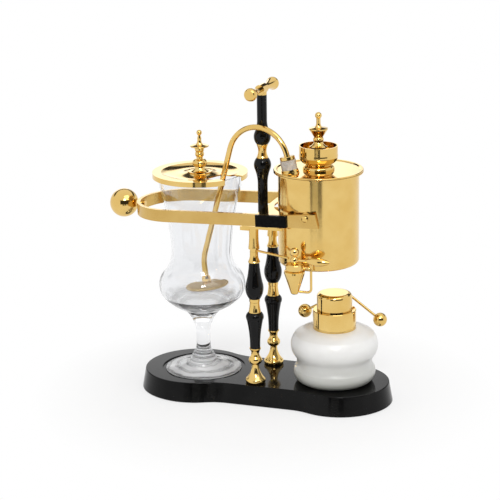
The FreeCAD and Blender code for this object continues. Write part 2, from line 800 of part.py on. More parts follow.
turned("glass_vessel", [
    (0, glass.hollow_depth), (glass.hollow_flat, glass.hollow_depth),
    (glass.hollow_mid_radius, glass.hollow_mid, glass.hollow_radius, 0),
    (glass.foot_radius - glass.foot_edge / 2, 0),
    (glass.foot_radius, glass.foot_edge / 2, glass.foot_radius - glass.foot_edge / 2, glass.foot_edge),
    (glass.foot_slope_radius, glass.foot_slope_height, glass.foot_top_radius, glass.foot_top),
    (glass.foot_top_radius + bulge / 2, (glass.foot_top + glass.ring_foot) / 2, glass.ring_radius,
     glass.ring_foot),
    (glass.ring_radius + bulge / 2, (glass.ring_foot + glass.bead_foot) / 2, glass.bead_radius,
     glass.bead_foot),
    (glass.bead_radius + bulge / 2, (glass.bead_foot + glass.knop_foot) / 2, glass.knop_foot_radius,
     glass.knop_foot),
    (glass.knop_radius, glass.knop_height, glass.stem_radius, glass.knop_top),
    (glass.stem_radius, glass.stem_height),
    (glass.stem_flare_radius, glass.stem_flare_height, glass.stem_top_radius, glass.stem_top_height),
    (glass.under_radius, glass.under_height, glass.lower_radius, glass.lower_height),
    (glass.bowl_radius, glass.bowl_height, glass.upper_radius, glass.upper_height),
    (glass.shoulder_radius, glass.shoulder_height, glass.waist_radius, glass.waist_height),
    (glass.flare_radius, glass.flare_height, glass.neck_radius, glass.neck_height),
    (glass.lip_radius, glass.lip_height, glass.mouth_radius, glass.height),
    (glass.mouth_radius - inner, glass.height),
    (glass.lip_radius - inner, glass.lip_height, glass.neck_radius - inner, glass.neck_height),
    (glass.flare_radius - inner, glass.flare_height, glass.waist_radius - inner, glass.waist_height),
    (glass.shoulder_radius - inner, glass.shoulder_height, glass.upper_radius - inner, glass.upper_height),
    (glass.bowl_radius - inner, glass.bowl_height, glass.lower_radius - inner,
     glass.lower_height + inner / 2),
    (glass.floor_radius, glass.floor_height, glass.floor_flat, glass.bowl_floor),
    (0, glass.bowl_floor)], frame(-glass_axis.reach, ZERO, glass_level))

# Lid: a spun plate with a skirt over the glass's rim, a shallow dish, a slot for the tube and a turned knob.
lid_radius = 53.9
lid_skirt = 5.75
lid_wall = 1.7
lid_dish_radius = 44
lid_dish_wall = 1.5
lid_dish_depth = 2.6
lid_boss_radius = 14
lid_boss_rise = 2.2
lid_slot_heading = -24
lid_slot_half_width = 14
lid_slot_inner_radius = 22
lid = sizes("lid")
knob_height = 47.9
knob_flare_radius = 14
knob_flare_height = 1.2
knob_foot_mid_radius = 6.6
knob_foot_mid_height = 3.4
knob_foot_neck_radius = 5.4
knob_foot_neck_height = 6.2
knob_bulge_radius = 8.4
knob_bulge_height = 9.8
knob_waist_radius = 3.7
knob_waist_height = 14.6
knob_bead_radius = 5.1
knob_bead_height = 20.2
knob_throat_radius = 4.2
knob_throat_height = 23
knob_collar_radius = 5.3
knob_collar_height = 24.8
knob_collar_top = 27.4
knob_disc_radius = 10.6
knob_disc_height = 28.8
knob_disc_edge = 1.5
knob_disc_dome = 0.8
knob_cone_foot = 4.2
knob_cone_radius = 2.9
knob_cone_height = 33.4
knob_stem_radius = 2.4
knob_stem_height = 38.5
knob_tip_radius = 1.4
knob_ball_radius = 3.1
knob = sizes("knob")
rim_level = glass_level + glass.height + fit.rest_gap
lid_top = lid.wall
dish_floor = lid_top - lid.dish_depth
boss_top = dish_floor + lid.boss_rise
trough = (lid.boss_radius + lid.dish_radius) / 2
lid_body = new_body("lid_plate")
revolve(lid_body, [(0, boss_top), (lid.boss_radius, boss_top),
                   (trough, dish_floor, lid.dish_radius, lid_top),
                   (lid.radius, lid_top),
                   (lid.radius, lid_top - lid.skirt), (lid.radius - lid.wall, lid_top - lid.skirt),
                   (lid.radius - lid.wall, 0), (lid.dish_radius, 0),
                   (trough, dish_floor - lid.dish_wall, lid.boss_radius, boss_top - lid.dish_wall),
                   (0, boss_top - lid.dish_wall)])
slot = new_sketch(lid_body, "XY_Plane", lid.skirt)
slot_end = lid.radius + lid.wall
draw(slot, [(lid.slot_inner_radius, -lid.slot_half_width), (slot_end, -lid.slot_half_width),
            (slot_end, lid.slot_half_width), (lid.slot_inner_radius, lid.slot_half_width)])
pocket(lid_body, slot, lid.skirt * 3)
keep("lid_plate", lid_body, frame(-glass_axis.reach, ZERO, rim_level, yaw=lid.slot_heading))
knob_level = rim_level + boss_top
ball_level = knob.height - knob.ball_radius
half_edge = knob.disc_edge / 2
disc_top = knob.disc_height + knob.disc_edge
turned("lid_knob", [
    (0, 0), (knob.flare_radius, 0), (knob.flare_radius, knob.flare_height),
    (knob.foot_mid_radius, knob.foot_mid_height, knob.foot_neck_radius, knob.foot_neck_height),
    (knob.bulge_radius, knob.bulge_height, knob.waist_radius, knob.waist_height),
    (knob.waist_radius, (knob.waist_height + knob.bead_height) / 2),
    (knob.bead_radius, knob.bead_height, knob.throat_radius, knob.throat_height),
    (knob.collar_radius, knob.collar_height), (knob.collar_radius, knob.collar_top),
    (knob.disc_radius - half_edge, knob.disc_height),
    (knob.disc_radius, knob.disc_height + half_edge, knob.disc_radius - half_edge, disc_top),
    (knob.cone_foot, disc_top + knob.disc_dome),
    (knob.cone_radius, knob.cone_height, knob.stem_radius, knob.stem_height),
    (knob.tip_radius, ball_level - under_ball(knob.ball_radius, knob.tip_radius)),
    (knob.ball_radius, ball_level, 0, knob.height)], frame(-glass_axis.reach, ZERO, knob_level))

# Beam: a flat band bent round the glass, spliced to two fork arms that carry the kettle.
ring_centre_reach = 122
ring_splice_reach = 12
ring_stud_hole = 2.1
ring = sizes("ring")
fork_start_flare = 18
fork_end_reach = 54
fork_end_slant = 3.5
fork_end_flare = 2
fork = sizes("fork")
block_left_reach = 17
block_right_reach = 18.5
block_margin = 0.2
block_thickness = 3.7
block_edge_round = 1
block = sizes("block")
yoke_thickness = 2
yoke_left_reach = 17
yoke_right_reach = 11.4
yoke_kettle_clearance = 4.5
yoke = sizes("yoke")
ball_radius = 16.4
ball_flat_radius = 4
ball_bore_depth = 12.5
ball = sizes("ball")
stud_head_radius = 3.6
stud_head_height = 2
stud_radius = 2
stud_collar_radius = 4
stud_collar_length = 4.2
stud_screw_radius = 2.5
stud_screw_length = 12
stud = sizes("stud")
beam_place = frame(pivot.reach, ZERO, pivot_level, pitch=-beam.tilt)
low = beam.rise - beam.height / 2
high = beam.rise + beam.height / 2

ring_body = new_body("beam_ring")
ring_plan = new_sketch(ring_body, "XY_Plane", low)
draw(ring_plan, [(-ring.splice_reach, -beam.half_width), (-ring.splice_reach, -beam_inside),
                 (-ring.centre_reach, -beam_inside),
                 (-ring.centre_reach - beam_inside, 0, -ring.centre_reach, beam_inside),
                 (-ring.splice_reach, beam_inside),
                 (-ring.splice_reach, beam.half_width), (-ring.centre_reach, beam.half_width),
                 (-ring.centre_reach - beam.half_width, 0, -ring.centre_reach, -beam.half_width)])
pad(ring_body, ring_plan, beam.height)
stud_bore = new_sketch(ring_body, "YZ_Plane", -ring.centre_reach)
draw_circle(stud_bore, 0, beam.rise, ring.stud_hole)
pocket(ring_body, stud_bore, beam.half_width + beam.thickness)
keep("beam_ring", ring_body, beam_place)

for side, away in BOTH_SIDES:
    arm = new_body(f"{side}_fork_arm")
    arm_side = new_sketch(arm, "XZ_Plane", beam_inside if away < 0 else -beam.half_width)
    draw(arm_side, [(-ring.splice_reach, low), (fork.end_reach, low),
                    (fork.end_reach - fork.end_slant, high + fork.end_flare),
                    (fork.start_flare, high), (-ring.splice_reach, high)])
    draw_circle(arm_side, 0, 0, pivot.pin_radius + fit.running)
    draw_circle(arm_side, trunnion.reach, trunnion.rise, trunnion.radius + fit.running)
    pad(arm, arm_side, beam.thickness)
    keep(f"{side}_fork_arm", arm, beam_place)

    bearing = new_body(f"{side}_bearing_block")
    block_side = new_sketch(bearing, "XZ_Plane",
                            beam.half_width if away < 0 else -beam.half_width - block.thickness)
    draw(block_side, [(-block.left_reach, low + block.margin), (block.right_reach, low + block.margin),
                      (block.right_reach, high - block.margin), (-block.left_reach, high - block.margin)])
    pad(bearing, block_side, block.thickness)
    outer = (beam.half_width + block.thickness).value * away
    round_edges(bearing, block.edge_round, lambda box,
                face=outer: abs(box.YMin - face) + abs(box.YMax - face) < SAME_FACE)
    seat = new_sketch(bearing, "XZ_Plane", (beam.half_width if away < 0 else -beam.half_width))
    draw_circle(seat, 0, 0, pivot.pin_radius + fit.running)
    pocket(bearing, seat, pivot.end_depth + fit.slide_gap, upwards=away < 0)
    keep(f"{side}_bearing_block", bearing, beam_place)

yoke_body = new_body("yoke_plate")
yoke_plan = new_sketch(yoke_body, "XY_Plane", high - yoke.thickness)
yoke_round = kettle.radius + yoke.kettle_clearance
yoke_depth = trunnion.reach - yoke.right_reach
yoke_inlet = root(yoke_round * yoke_round - yoke_depth * yoke_depth)
draw(yoke_plan, [(-yoke.left_reach, -beam_inside), (yoke.right_reach, -beam_inside),
                 (yoke.right_reach, -yoke_inlet),
                 (trunnion.reach - yoke_round, 0, yoke.right_reach, yoke_inlet),
                 (yoke.right_reach, beam_inside),
                 (-yoke.left_reach, beam_inside)])
pad(yoke_body, yoke_plan, yoke.thickness)
keep("yoke_plate", yoke_body, beam_place)

# Counterweight: a solid ball on a shouldered stud through the end of the ring.
ring_tip = -ring.centre_reach - beam.half_width
stud_place = f"{beam_place} * {frame(ring_tip, ZERO, beam.rise, pitch=-RIGHT_ANGLE)}"
stud_base = -beam.thickness - fit.slide_gap
turned("counterweight_stud", [
    (0, stud_base - stud.head_height), (stud.head_radius, stud_base - stud.head_height),
    (stud.head_radius, stud_base),
    (stud.radius, stud_base), (stud.radius, fit.thread), (stud.collar_radius, fit.thread),
    (stud.collar_radius, stud.collar_length), (stud.screw_radius, stud.collar_length),
    (stud.screw_radius, stud.collar_length + stud.screw_length),
    (0, stud.collar_length + stud.screw_length)], stud_place)
ball_centre = root(ball.radius * ball.radius - ball.flat_radius * ball.flat_radius)
ball_place = f"{stud_place} * {frame(z=stud.collar_length)}"
turned("counterweight_ball", [
    (stud.screw_radius + fit.thread, 0), (ball.flat_radius, 0),
    (ball.radius, ball_centre, 0, ball_centre + ball.radius),
    (0, ball.bore_depth), (stud.screw_radius + fit.thread, ball.bore_depth)], ball_place)

# Kettle: a spun can with a flanged top plate, hung by two bosses on screws through the fork arms.
top_plate_rim_height = 2
top_plate_dish_height = 1
top_plate_rim_width = 3
top_plate_edge = 0.8
top_plate_filler_hole = 9.2
top_plate = sizes("top_plate")
boss_radius = 6
boss = sizes("boss")
screw_head_radius = 3.4
screw_head_height = 2
screw_crown_radius = 2.4
screw_edge_height = 1.2
screw_reach = 3
screw = sizes("screw")
kettle_place = frame(kettle_x, ZERO, kettle_level)
inside = kettle.radius - kettle.wall
flange_foot = kettle.height - kettle.wall
corner_cut = kettle.edge_round * ROUND_MIDDLE
tap_heading = -100.5
tap_reach = 58
tap_height = 7.4
tap_inlet_radius = 4.6
tap_bore_radius = 2.6
tap_flange_height = 5
tap_ring_radius = 10
tap_ring_height = 7.4
tap_shoulder_radius = 11.6
tap_shoulder_drop = 3
tap_spout_drop = 27
tap_spout_radius = 4.2
tap_tip_round = 1
tap_key_bore = 3
tap_shoulder_top_radius = 11.4
tap_shoulder_edge = 0.9
tap_ring_foot_radius = 9
tap = sizes("tap")
can = new_body("kettle_can")
revolve(can, [
    (0, 0), (kettle.radius - kettle.edge_round, 0),
    (kettle.radius - corner_cut, corner_cut, kettle.radius, kettle.edge_round), (kettle.radius, flange_foot),
    (kettle.flange_radius, flange_foot), (kettle.flange_radius, kettle.height), (inside, kettle.height),
    (inside, kettle.edge_round),
    (inside - corner_cut / 2, kettle.wall + corner_cut / 2, inside - kettle.edge_round, kettle.wall),
    (0, kettle.wall)])
can.setExpression("Placement", kettle_place)
tap_frame = f"{kettle_place} * {frame(z=tap.height, yaw=tap.heading)}"
outlet = rod("kettle_outlet", tap.bore_radius, tap.reach, f"{tap_frame} * {frame(pitch=RIGHT_ANGLE)}")
keep("kettle_body", cut("kettle_body", can, outlet))

tube_seat_offset_x = 25
tube_seat_offset_y = 24
tube_seat_lean = 12.5
tube_seat_hole_radius = 5.1
tube_seat = sizes("tube_seat")
plate = new_body("kettle_top_plate")
rim_inner = kettle.flange_radius - top_plate.rim_width
revolve(plate, [
    (top_plate.filler_hole, 0), (kettle.flange_radius - top_plate.edge, 0),
    (kettle.flange_radius, top_plate.rim_height / 2, kettle.flange_radius - top_plate.edge,
     top_plate.rim_height),
    (rim_inner, top_plate.rim_height), (rim_inner - top_plate.edge * 2, top_plate.dish_height),
    (top_plate.filler_hole, top_plate.dish_height)])
plate.setExpression("Placement", f"{kettle_place} * {frame(z=kettle.height)}")
plate_level = kettle_level + kettle.height + top_plate.dish_height
seat_x = kettle_x - tube_seat.offset_x
tube_yaw = 180 - arc_tangent(tube_seat.offset_y / (seat_x + glass_axis.reach))
tube_frame = frame(seat_x, -tube_seat.offset_y, plate_level, yaw=tube_yaw, pitch=tube_seat.lean)
seat_drill = rod("tube_seat_drill", tube_seat.hole_radius, kettle.hang,
                 f"{tube_frame} * {frame(z=-kettle.hang / 2)}")
keep("kettle_top", cut("kettle_top", plate, seat_drill))

bosses = []
screws = []
boss_face = beam_inside - fit.slide_gap
boss_root = kettle.radius - kettle.wall
for side, away in BOTH_SIDES:
    outwards = RIGHT_ANGLE * -away
    raw = new_body(f"{side}_raw_boss")
    revolve(raw, [(trunnion.radius + fit.thread, boss_root), (boss.radius, boss_root),
                  (boss.radius, boss_face),
                  (trunnion.radius + fit.thread, boss_face)])
    raw.setExpression("Placement", frame(kettle_x, ZERO, trunnion_level, roll=outwards))
    shell = rod(f"{side}_boss_shell", kettle.radius + fit.thread, kettle.hang, kettle_place)
    shell.setExpression("Height", (kettle.hang * 2).formula)
    bosses.append(cut(f"{side}_boss", raw, shell))
    pivot_screw = new_body(f"{side}_trunnion_screw")
    screw_tip = boss_face - screw.reach + fit.slide_gap
    head_face = beam.half_width + fit.slide_gap
    revolve(pivot_screw, [(0, screw_tip), (trunnion.radius, screw_tip), (trunnion.radius, head_face),
                          (screw.head_radius, head_face), (screw.head_radius, head_face + screw.edge_height),
                          (screw.crown_radius, head_face + screw.head_height),
                          (0, head_face + screw.head_height)])
    pivot_screw.setExpression("Placement", frame(kettle_x, ZERO, trunnion_level, roll=outwards))
    screws.append(pivot_screw)
group("kettle_bosses", bosses)
group("trunnion_screws", screws)

# Filler: an open cup on the kettle's top, closed by a turned plug with a soft seal.
cup_bore = 6.5
cup_base_radius = 17.6
cup_base_lip = 1
cup_base_mid_radius = 17
cup_base_mid = 3.4
cup_throat_radius = 14.4
cup_throat_start = 5.4
cup_throat_end = 6.8
cup_belly_radius = 20.4
cup_belly_height = 11.2
cup_radius = 21.4
cup_wall_start = 18
cup_height = 27.1
cup_wall = 1.2
cup_floor = 8.6
cup = sizes("cup")
stopper_tip = 3
stopper_shank = 6.2
stopper_shoulder_radius = 9.2
stopper_shoulder_height = 1.8
stopper_stem_radius = 5.4
stopper_flange_level = 24.5
stopper_flange_radius = 9.9
stopper_flange_edge = 1.4
stopper_flange_mid_radius = 6.3
stopper_flange_mid = 28.4
stopper_neck_radius = 4.8
stopper_neck_level = 31.4
stopper_bead_radius = 5.9
stopper_bead_level = 33.8
stopper_cone_foot = 36.4
stopper_disc_radius = 10.4
stopper_disc_level = 45
stopper_disc_edge = 1.4
stopper_disc_dome = 0.8
stopper_cap_foot = 4.2
stopper_cap_mid_radius = 2.9
stopper_cap_mid = 49.6
stopper_cap_radius = 2.4
stopper_cap_level = 53
stopper_ball_radius = 3.75
stopper_height = 64.2
stopper = sizes("stopper")
seal_radius = 9.5
seal_height = 2.4
seal = sizes("seal")
cup_place = frame(kettle_x, ZERO, plate_level)
turned("filler_cup", [
    (cup.bore, 0), (cup.base_radius, 0), (cup.base_radius, cup.base_lip),
    (cup.base_mid_radius, cup.base_mid, cup.throat_radius, cup.throat_start),
    (cup.throat_radius, cup.throat_end),
    (cup.belly_radius, cup.belly_height, cup.radius, cup.wall_start), (cup.radius, cup.height),
    (cup.radius - cup.wall, cup.height), (cup.radius - cup.wall, cup.wall_start),
    (cup.belly_radius - cup.wall, cup.belly_height + cup.wall, cup.throat_radius, cup.floor),
    (cup.bore, cup.floor)], cup_place)
seal_level = cup.floor + fit.rest_gap
seal_bore = stopper.shank + fit.thread
turned("filler_seal", [(seal_bore, seal_level), (seal.radius, seal_level),
                       (seal.radius, seal_level + seal.height),
                       (seal_bore, seal_level + seal.height)], cup_place)
shoulder = seal_level + seal.height + fit.thread
stopper_ball = stopper.height - stopper.ball_radius
stopper_top = stopper.disc_level + stopper.disc_edge
turned("filler_plug", [
    (0, stopper.tip), (stopper.shank, stopper.tip), (stopper.shank, shoulder),
    (stopper.shoulder_radius, shoulder),
    (stopper.shoulder_radius, shoulder + stopper.shoulder_height),
    (stopper.stem_radius, shoulder + stopper.shoulder_height),
    (stopper.stem_radius, stopper.flange_level), (stopper.flange_radius, stopper.flange_level),
    (stopper.flange_radius, stopper.flange_level + stopper.flange_edge),
    (stopper.flange_mid_radius, stopper.flange_mid, stopper.neck_radius, stopper.neck_level),
    (stopper.bead_radius, stopper.bead_level, stopper.neck_radius, stopper.cone_foot),
    (stopper.disc_radius, stopper.disc_level), (stopper.disc_radius, stopper_top),
    (stopper.cap_foot, stopper_top + stopper.disc_dome),
    (stopper.cap_mid_radius, stopper.cap_mid, stopper.cap_radius, stopper.cap_level),
    (stopper.cap_radius, stopper_ball - under_ball(stopper.ball_radius, stopper.cap_radius)),
    (stopper.ball_radius, stopper_ball, 0, stopper.height)], cup_place)

# Siphon tube: one bent metal tube, from a dip leg in the kettle over an arch and down into the glass,
# held in the kettle's top by a socket ring, a soft stopper and a nut.
tube_radius = 3.15
tube_bore = 2.35
tube_dip = 100
tube_riser = 17.8
tube_arch_radius = 37.5
tube_arch_turn = 151.5
tube_leg = 128.9
tube_bend_radius = 45
tube_bend_turn = 24
tube_tail = 20
tube = sizes("tube")
bung_spigot_radius = 5
bung_spigot_depth = 5
bung_seat_height = 3.6
bung_radius = 8.7
bung_height = 14.2
bung = sizes("bung")
socket_ring_foot_radius = 9.9
socket_ring_radius = 9.5
socket_ring_sink = 4
socket_ring = sizes("socket_ring")
nut_radius = 8.3
nut_height = 4.2
nut_chamfer = 0.6
nut = sizes("nut")
strainer_radius = 24.5
strainer_edge = 2.4
strainer_height = 4.6
strainer_neck_radius = 5
strainer_neck_height = 9
strainer_shoulder_height = 6.3
strainer_neck_top_radius = 4.25
strainer_hub_height = 1.2
strainer = sizes("strainer")


def along(start, heading, length):
    """The point this far from a start, at a heading in degrees."""
    return start[0] + length * cosine(heading), start[1] + length * sine(heading)


def bend(start, heading, radius, turn):
    """A bend to the right: a point on it and its end, and the heading after it."""
    centre = along(start, heading - 90, radius)
    middle = along(centre, heading + 90 - turn / 2, radius)
    end = along(centre, heading + 90 - turn, radius)
    return middle + end, heading - turn


arch_start = (ZERO, tube.riser)
arch, leg_heading = bend((as_size(0), tube.riser), RIGHT_ANGLE, tube.arch_radius, tube.arch_turn)
leg_end = along(arch[2:], leg_heading, tube.leg)
kink, tail_heading = bend(leg_end, leg_heading, tube.bend_radius, tube.bend_turn)
tube_end = along(kink[2:], tail_heading, tube.tail)
swept("siphon_tube", tube.radius, tube.bore, [(0, -tube.dip), arch_start, arch, leg_end, kink, tube_end],
      "XY_Plane", tube_frame)
tube_hole = tube.radius + fit.thread
ring_raw = new_body("socket_ring_raw")
revolve(ring_raw, [(bung.radius + fit.thread, -socket_ring.sink),
                   (socket_ring.foot_radius, -socket_ring.sink),
                   (socket_ring.foot_radius, 0), (socket_ring.radius, bung.seat_height / 2),
                   (socket_ring.radius, bung.seat_height), (bung.radius + fit.thread, bung.seat_height)])
ring_raw.setExpression("Placement", tube_frame)
under_top = rod("kettle_under_top", kettle.flange_radius, kettle.height, kettle_place)
under_top.setExpression("Height", (kettle.height + top_plate.dish_height + fit.thread).formula)
keep("tube_socket", cut("tube_socket", ring_raw, under_top))
bung_raw = new_body("tube_bung_raw")
bung_foot = bung.radius * sine(tube_seat.lean) + fit.rest_gap
revolve(bung_raw, [(tube_hole, -bung.spigot_depth), (bung.spigot_radius, -bung.spigot_depth),
                   (bung.spigot_radius, bung_foot),
                   (bung.radius, bung_foot), (bung.radius, bung.height), (tube_hole, bung.height)])
keep("tube_bung", bung_raw, tube_frame)
nut_start = bung.height + fit.thread
nut_end = nut_start + nut.height
turned("tube_nut", [(tube_hole, nut_start), (nut.radius - nut.chamfer, nut_start),
                    (nut.radius, nut_start + nut.chamfer),
                    (nut.radius, nut_end - nut.chamfer), (nut.radius - nut.chamfer, nut_end),
                    (tube_hole, nut_end)], tube_frame)

strainer_place = f"{tube_frame} * {frame(tube_end[0], ZERO, tube_end[1], pitch=-(tail_heading + 90))}"
turned("filter_nut", [(tube_hole, fit.thread), (strainer.neck_radius, fit.thread),
                      (strainer.neck_radius, strainer.shoulder_height),
                      (strainer.neck_top_radius, strainer.neck_height),
                      (tube_hole, strainer.neck_height)], strainer_place)
turned("filter_disc", [(0, 0), (strainer.neck_radius, 0), (strainer.radius - strainer.edge,
                                                           -strainer.hub_height),
                       (strainer.radius, -strainer.height / 2, strainer.radius - strainer.edge,
                        strainer.hub_height - strainer.height),
                       (0, -strainer.height)], strainer_place)

# Tap: an elbow on the kettle's front with a tapered spout, a turning key and a wire loop.
tap_raw = new_body("tap_raw")
ring_top = tap.flange_height
ring_foot = ring_top - tap.ring_height
shoulder_level = ring_foot - tap.shoulder_drop
spout_foot = shoulder_level - tap.spout_drop + tap.shoulder_drop
revolve(tap_raw, [
    (tap.bore_radius, spout_foot), (tap.spout_radius - tap.tip_round, spout_foot),
    (tap.spout_radius, spout_foot + tap.tip_round),
    (tap.shoulder_radius, shoulder_level), (tap.shoulder_top_radius, ring_foot - tap.shoulder_edge),
    (tap.ring_foot_radius, ring_foot), (tap.ring_radius, ring_foot + tap.tip_round),
    (tap.ring_radius, ring_top - tap.tip_round),
    (tap.ring_radius - tap.tip_round, ring_top), (tap.key_bore + fit.running, ring_top),
    (tap.key_bore + fit.running, 0),
    (tap.bore_radius, 0)])
inlet = new_sketch(tap_raw, "YZ_Plane", -tap.reach)
draw_circle(inlet, 0, 0, tap.inlet_radius)
pad(tap_raw, inlet, tap.reach - tap.inlet_radius)
tap_centre = f"{tap_frame} * {frame(tap.reach)}"
tap_raw.setExpression("Placement", tap_centre)
wall_tool = rod("kettle_wall_tool", kettle.radius + fit.thread, kettle.height, kettle_place)
tap_less = cut("tap_blank", tap_raw, wall_tool)
tap_drill = rod("tap_drill", tap.bore_radius, tap.reach, f"{tap_frame} * {frame(pitch=RIGHT_ANGLE)}")
keep("tap_body", cut("tap_body", tap_less, tap_drill))

loop_radius = 1.35
loop_reach = 19
loop_top_level = 1.2
loop_foot_level = -26.5
loop_bend = 4.5
loop = sizes("loop")
spout_slope = (tap.shoulder_radius - tap.spout_radius) / (shoulder_level - spout_foot - tap.tip_round)
loop_contact = loop.foot_level + loop.radius - spout_foot - tap.tip_round
loop_end = tap.spout_radius + loop_contact * spout_slope + fit.thread
corner = loop.reach - loop.bend
slack = loop.bend * ROUND_MIDDLE
swept("tap_loop", loop.radius, None, [
    (tap.ring_radius + fit.thread, loop.top_level), (corner, loop.top_level),
    (loop.reach - slack, loop.top_level - slack, loop.reach, loop.top_level - loop.bend),
    (loop.reach, loop.foot_level + loop.bend),
    (loop.reach - slack, loop.foot_level + slack, corner, loop.foot_level), (loop_end, loop.foot_level)],
    "YZ_Plane", f"{tap_centre} * {frame(yaw=-tap.heading)}")

key_shank_depth = 4.6
key_head_radius = 4.4
key_head_height = 7.2
key_neck_radius = 2.6
key_neck_height = 1.4
key_ball_radius = 5
key_stem_radius = 1.7
key_stem_reach = 13
key_grip_root = 2
key_grip_radius = 4.6
key_grip_tip = 1.2
key_grip_reach = 40
key_stem_level = 3.8
key_foot_radius = 3.5
key_crown_radius = 3.1
key_stem_root = 2.2
key = sizes("key")
key_body = new_body("tap_key")
key_foot = fit.rest_gap
neck_level = key_foot + key.head_height
ball_foot = neck_level + key.neck_height
key_ball = ball_foot + under_ball(key.ball_radius, key.neck_radius)
revolve(key_body, [(0, -key.shank_depth), (tap.key_bore, -key.shank_depth), (tap.key_bore, key_foot),
                   (key.foot_radius, key_foot),
                   (key.head_radius, key.stem_level, key.crown_radius, neck_level),
                   (key.neck_radius, neck_level),
                   (key.neck_radius, ball_foot),
                   (key.ball_radius, key_ball, 0, key_ball + key.ball_radius)])
stem = new_sketch(key_body, "YZ_Plane", key.stem_root)
draw_circle(stem, 0, key.stem_level, key.stem_radius)
pad(key_body, stem, key.stem_reach - key.stem_root + key.stem_radius)
grip_middle = (key.stem_reach + key.grip_reach) / 2
revolve(key_body, [(key.stem_reach, 0), (key.stem_reach, key.grip_root),
                   (grip_middle, key.grip_radius, key.grip_reach, key.grip_tip), (key.grip_reach, 0)],
        "H_Axis", key.stem_level)
key_place = f"{tap_centre} * {frame(z=tap.flange_height, yaw=-tap.heading)}"
keep("tap_key", key_body, key_place)

# Spirit burner: a frosted jar with a gold collar, a wick, and a hinged snuffer cap with a weighted wire.
burner_reach = 83.25
burner = sizes("burner")
jar_wall = 2.5
jar_foot_radius = 36
jar_low_radius = 45.2
jar_low_height = 6.5
jar_bulge_radius = 45.5
jar_bulge_height = 16.5
jar_waist_radius = 42.5
jar_waist_height = 23.5
jar_rise_radius = 44.6
jar_rise_height = 30.5
jar_belly_radius = 49.3
jar_belly_height = 44
jar_shoulder_radius = 44.6
jar_shoulder_height = 56
jar_slope_radius = 36
jar_slope_height = 60.6
jar_neck_radius = 21.5
jar_neck_foot = 62.2
jar_neck_top = 79
jar = sizes("jar")
collar_radius = 24.35
collar_wall = 1.4
collar_height = 21.6
collar_top = 1.8
collar_edge = 0.6
collar_gap = 0.3
collar = sizes("collar")
wick_tube_radius = 5
wick_tube_bore = 3.6
wick_tube_flange_radius = 8
wick_tube_flange_height = 1.2
wick_tube_depth = 14
wick_tube_height = 7
wick_tube = sizes("wick_tube")
wick_radius = 3.5
wick_foot = 8
wick_rise = 10
wick = sizes("wick")
cap_radius = 19.9
cap_wall = 1.3
cap_height = 19.2
cap_edge_round = 4.5
cap = sizes("cap")
hinge_setback = 23
hinge_rise = 3
hinge_pin_radius = 1
hinge_knuckle_radius = 2.4
hinge_knuckle_width = 3
hinge_lug_half_width = 3.7
hinge_gap = 0.3
hinge = sizes("hinge")
lever_setback = 27
lever_radius = 1.45
lever_left_leg = 54.9
lever_left_lean = 59.8
lever_right_leg = 51.1
lever_turn = 66.3
lever_bend = 4
lever_apex_offset = 4.5
lever_apex_rise = 10.2
lever_ball_radius = 7.9
lever_rib_root = 16
lever_rib_half_width = 6
lever_rib_height = 7
lever = sizes("lever")
burner_level = base.height + fit.rest_gap
burner_place = frame(burner.reach, ZERO, burner_level)
thin = jar.wall
turned("burner_jar", [
    (0, 0), (jar.foot_radius, 0), (jar.low_radius, jar.low_height, jar.bulge_radius, jar.bulge_height),
    (jar.waist_radius, jar.waist_height, jar.rise_radius, jar.rise_height),
    (jar.belly_radius, jar.belly_height, jar.shoulder_radius, jar.shoulder_height),
    (jar.slope_radius, jar.slope_height, jar.neck_radius, jar.neck_foot), (jar.neck_radius, jar.neck_top),
    (jar.neck_radius - thin, jar.neck_top), (jar.neck_radius - thin, jar.neck_foot - thin),
    (jar.slope_radius - thin, jar.slope_height - thin, jar.shoulder_radius - thin,
     jar.shoulder_height - thin / 2),
    (jar.belly_radius - thin, jar.belly_height, jar.rise_radius - thin, jar.rise_height),
    (jar.waist_radius - thin, jar.waist_height, jar.bulge_radius - thin, jar.bulge_height),
    (jar.low_radius - thin, jar.low_height + thin / 2, jar.foot_radius, thin), (0, thin)], burner_place)
collar_level = jar.neck_foot + collar.gap
collar_roof = collar_level + collar.height
collar_body = new_body("burner_collar")
revolve(collar_body, [
    (wick_tube.radius + fit.thread, collar_roof - collar.top),
    (collar.radius - collar.wall, collar_roof - collar.top),
    (collar.radius - collar.wall, collar_level), (collar.radius, collar_level),
    (collar.radius, collar_roof - collar.edge),
    (collar.radius - collar.edge, collar_roof), (wick_tube.radius + fit.thread, collar_roof)])
hinge_level = collar_roof + hinge.rise
lug_inner = hinge.lug_half_width + hinge.gap
for start in (lug_inner, -lug_inner - hinge.knuckle_width):
    lug = new_sketch(collar_body, "YZ_Plane", start)
    fore, aft = hinge.setback - hinge.knuckle_radius, hinge.setback + hinge.knuckle_radius
    draw(lug, [(fore, collar_roof - collar.top), (hinge.setback, collar_roof - collar.top),
               (aft, hinge_level),
               (hinge.setback, hinge_level + hinge.knuckle_radius, fore, hinge_level)])
    draw_circle(lug, hinge.setback, hinge_level, hinge.pin_radius + fit.thread)
    pad(collar_body, lug, hinge.knuckle_width)
keep("burner_collar", collar_body, burner_place)
flange_level = collar_roof + fit.thread
turned("wick_tube", [
    (wick_tube.bore, collar_roof - wick_tube.depth), (wick_tube.radius, collar_roof - wick_tube.depth),
    (wick_tube.radius, flange_level), (wick_tube.flange_radius, flange_level),
    (wick_tube.flange_radius, flange_level + wick_tube.flange_height),
    (wick_tube.radius, flange_level + wick_tube.flange_height),
    (wick_tube.radius, collar_roof + wick_tube.height), (wick_tube.bore, collar_roof + wick_tube.height)],
       burner_place)
wick_top = collar_roof + wick.rise
turned("wick", [(0, wick.foot), (wick.radius, wick.foot), (wick.radius, wick_top),
                (0, wick_top)], burner_place)
pin_reach = lug_inner + hinge.knuckle_width
pin_frame = frame(-pin_reach, hinge.setback, hinge_level, pitch=RIGHT_ANGLE)
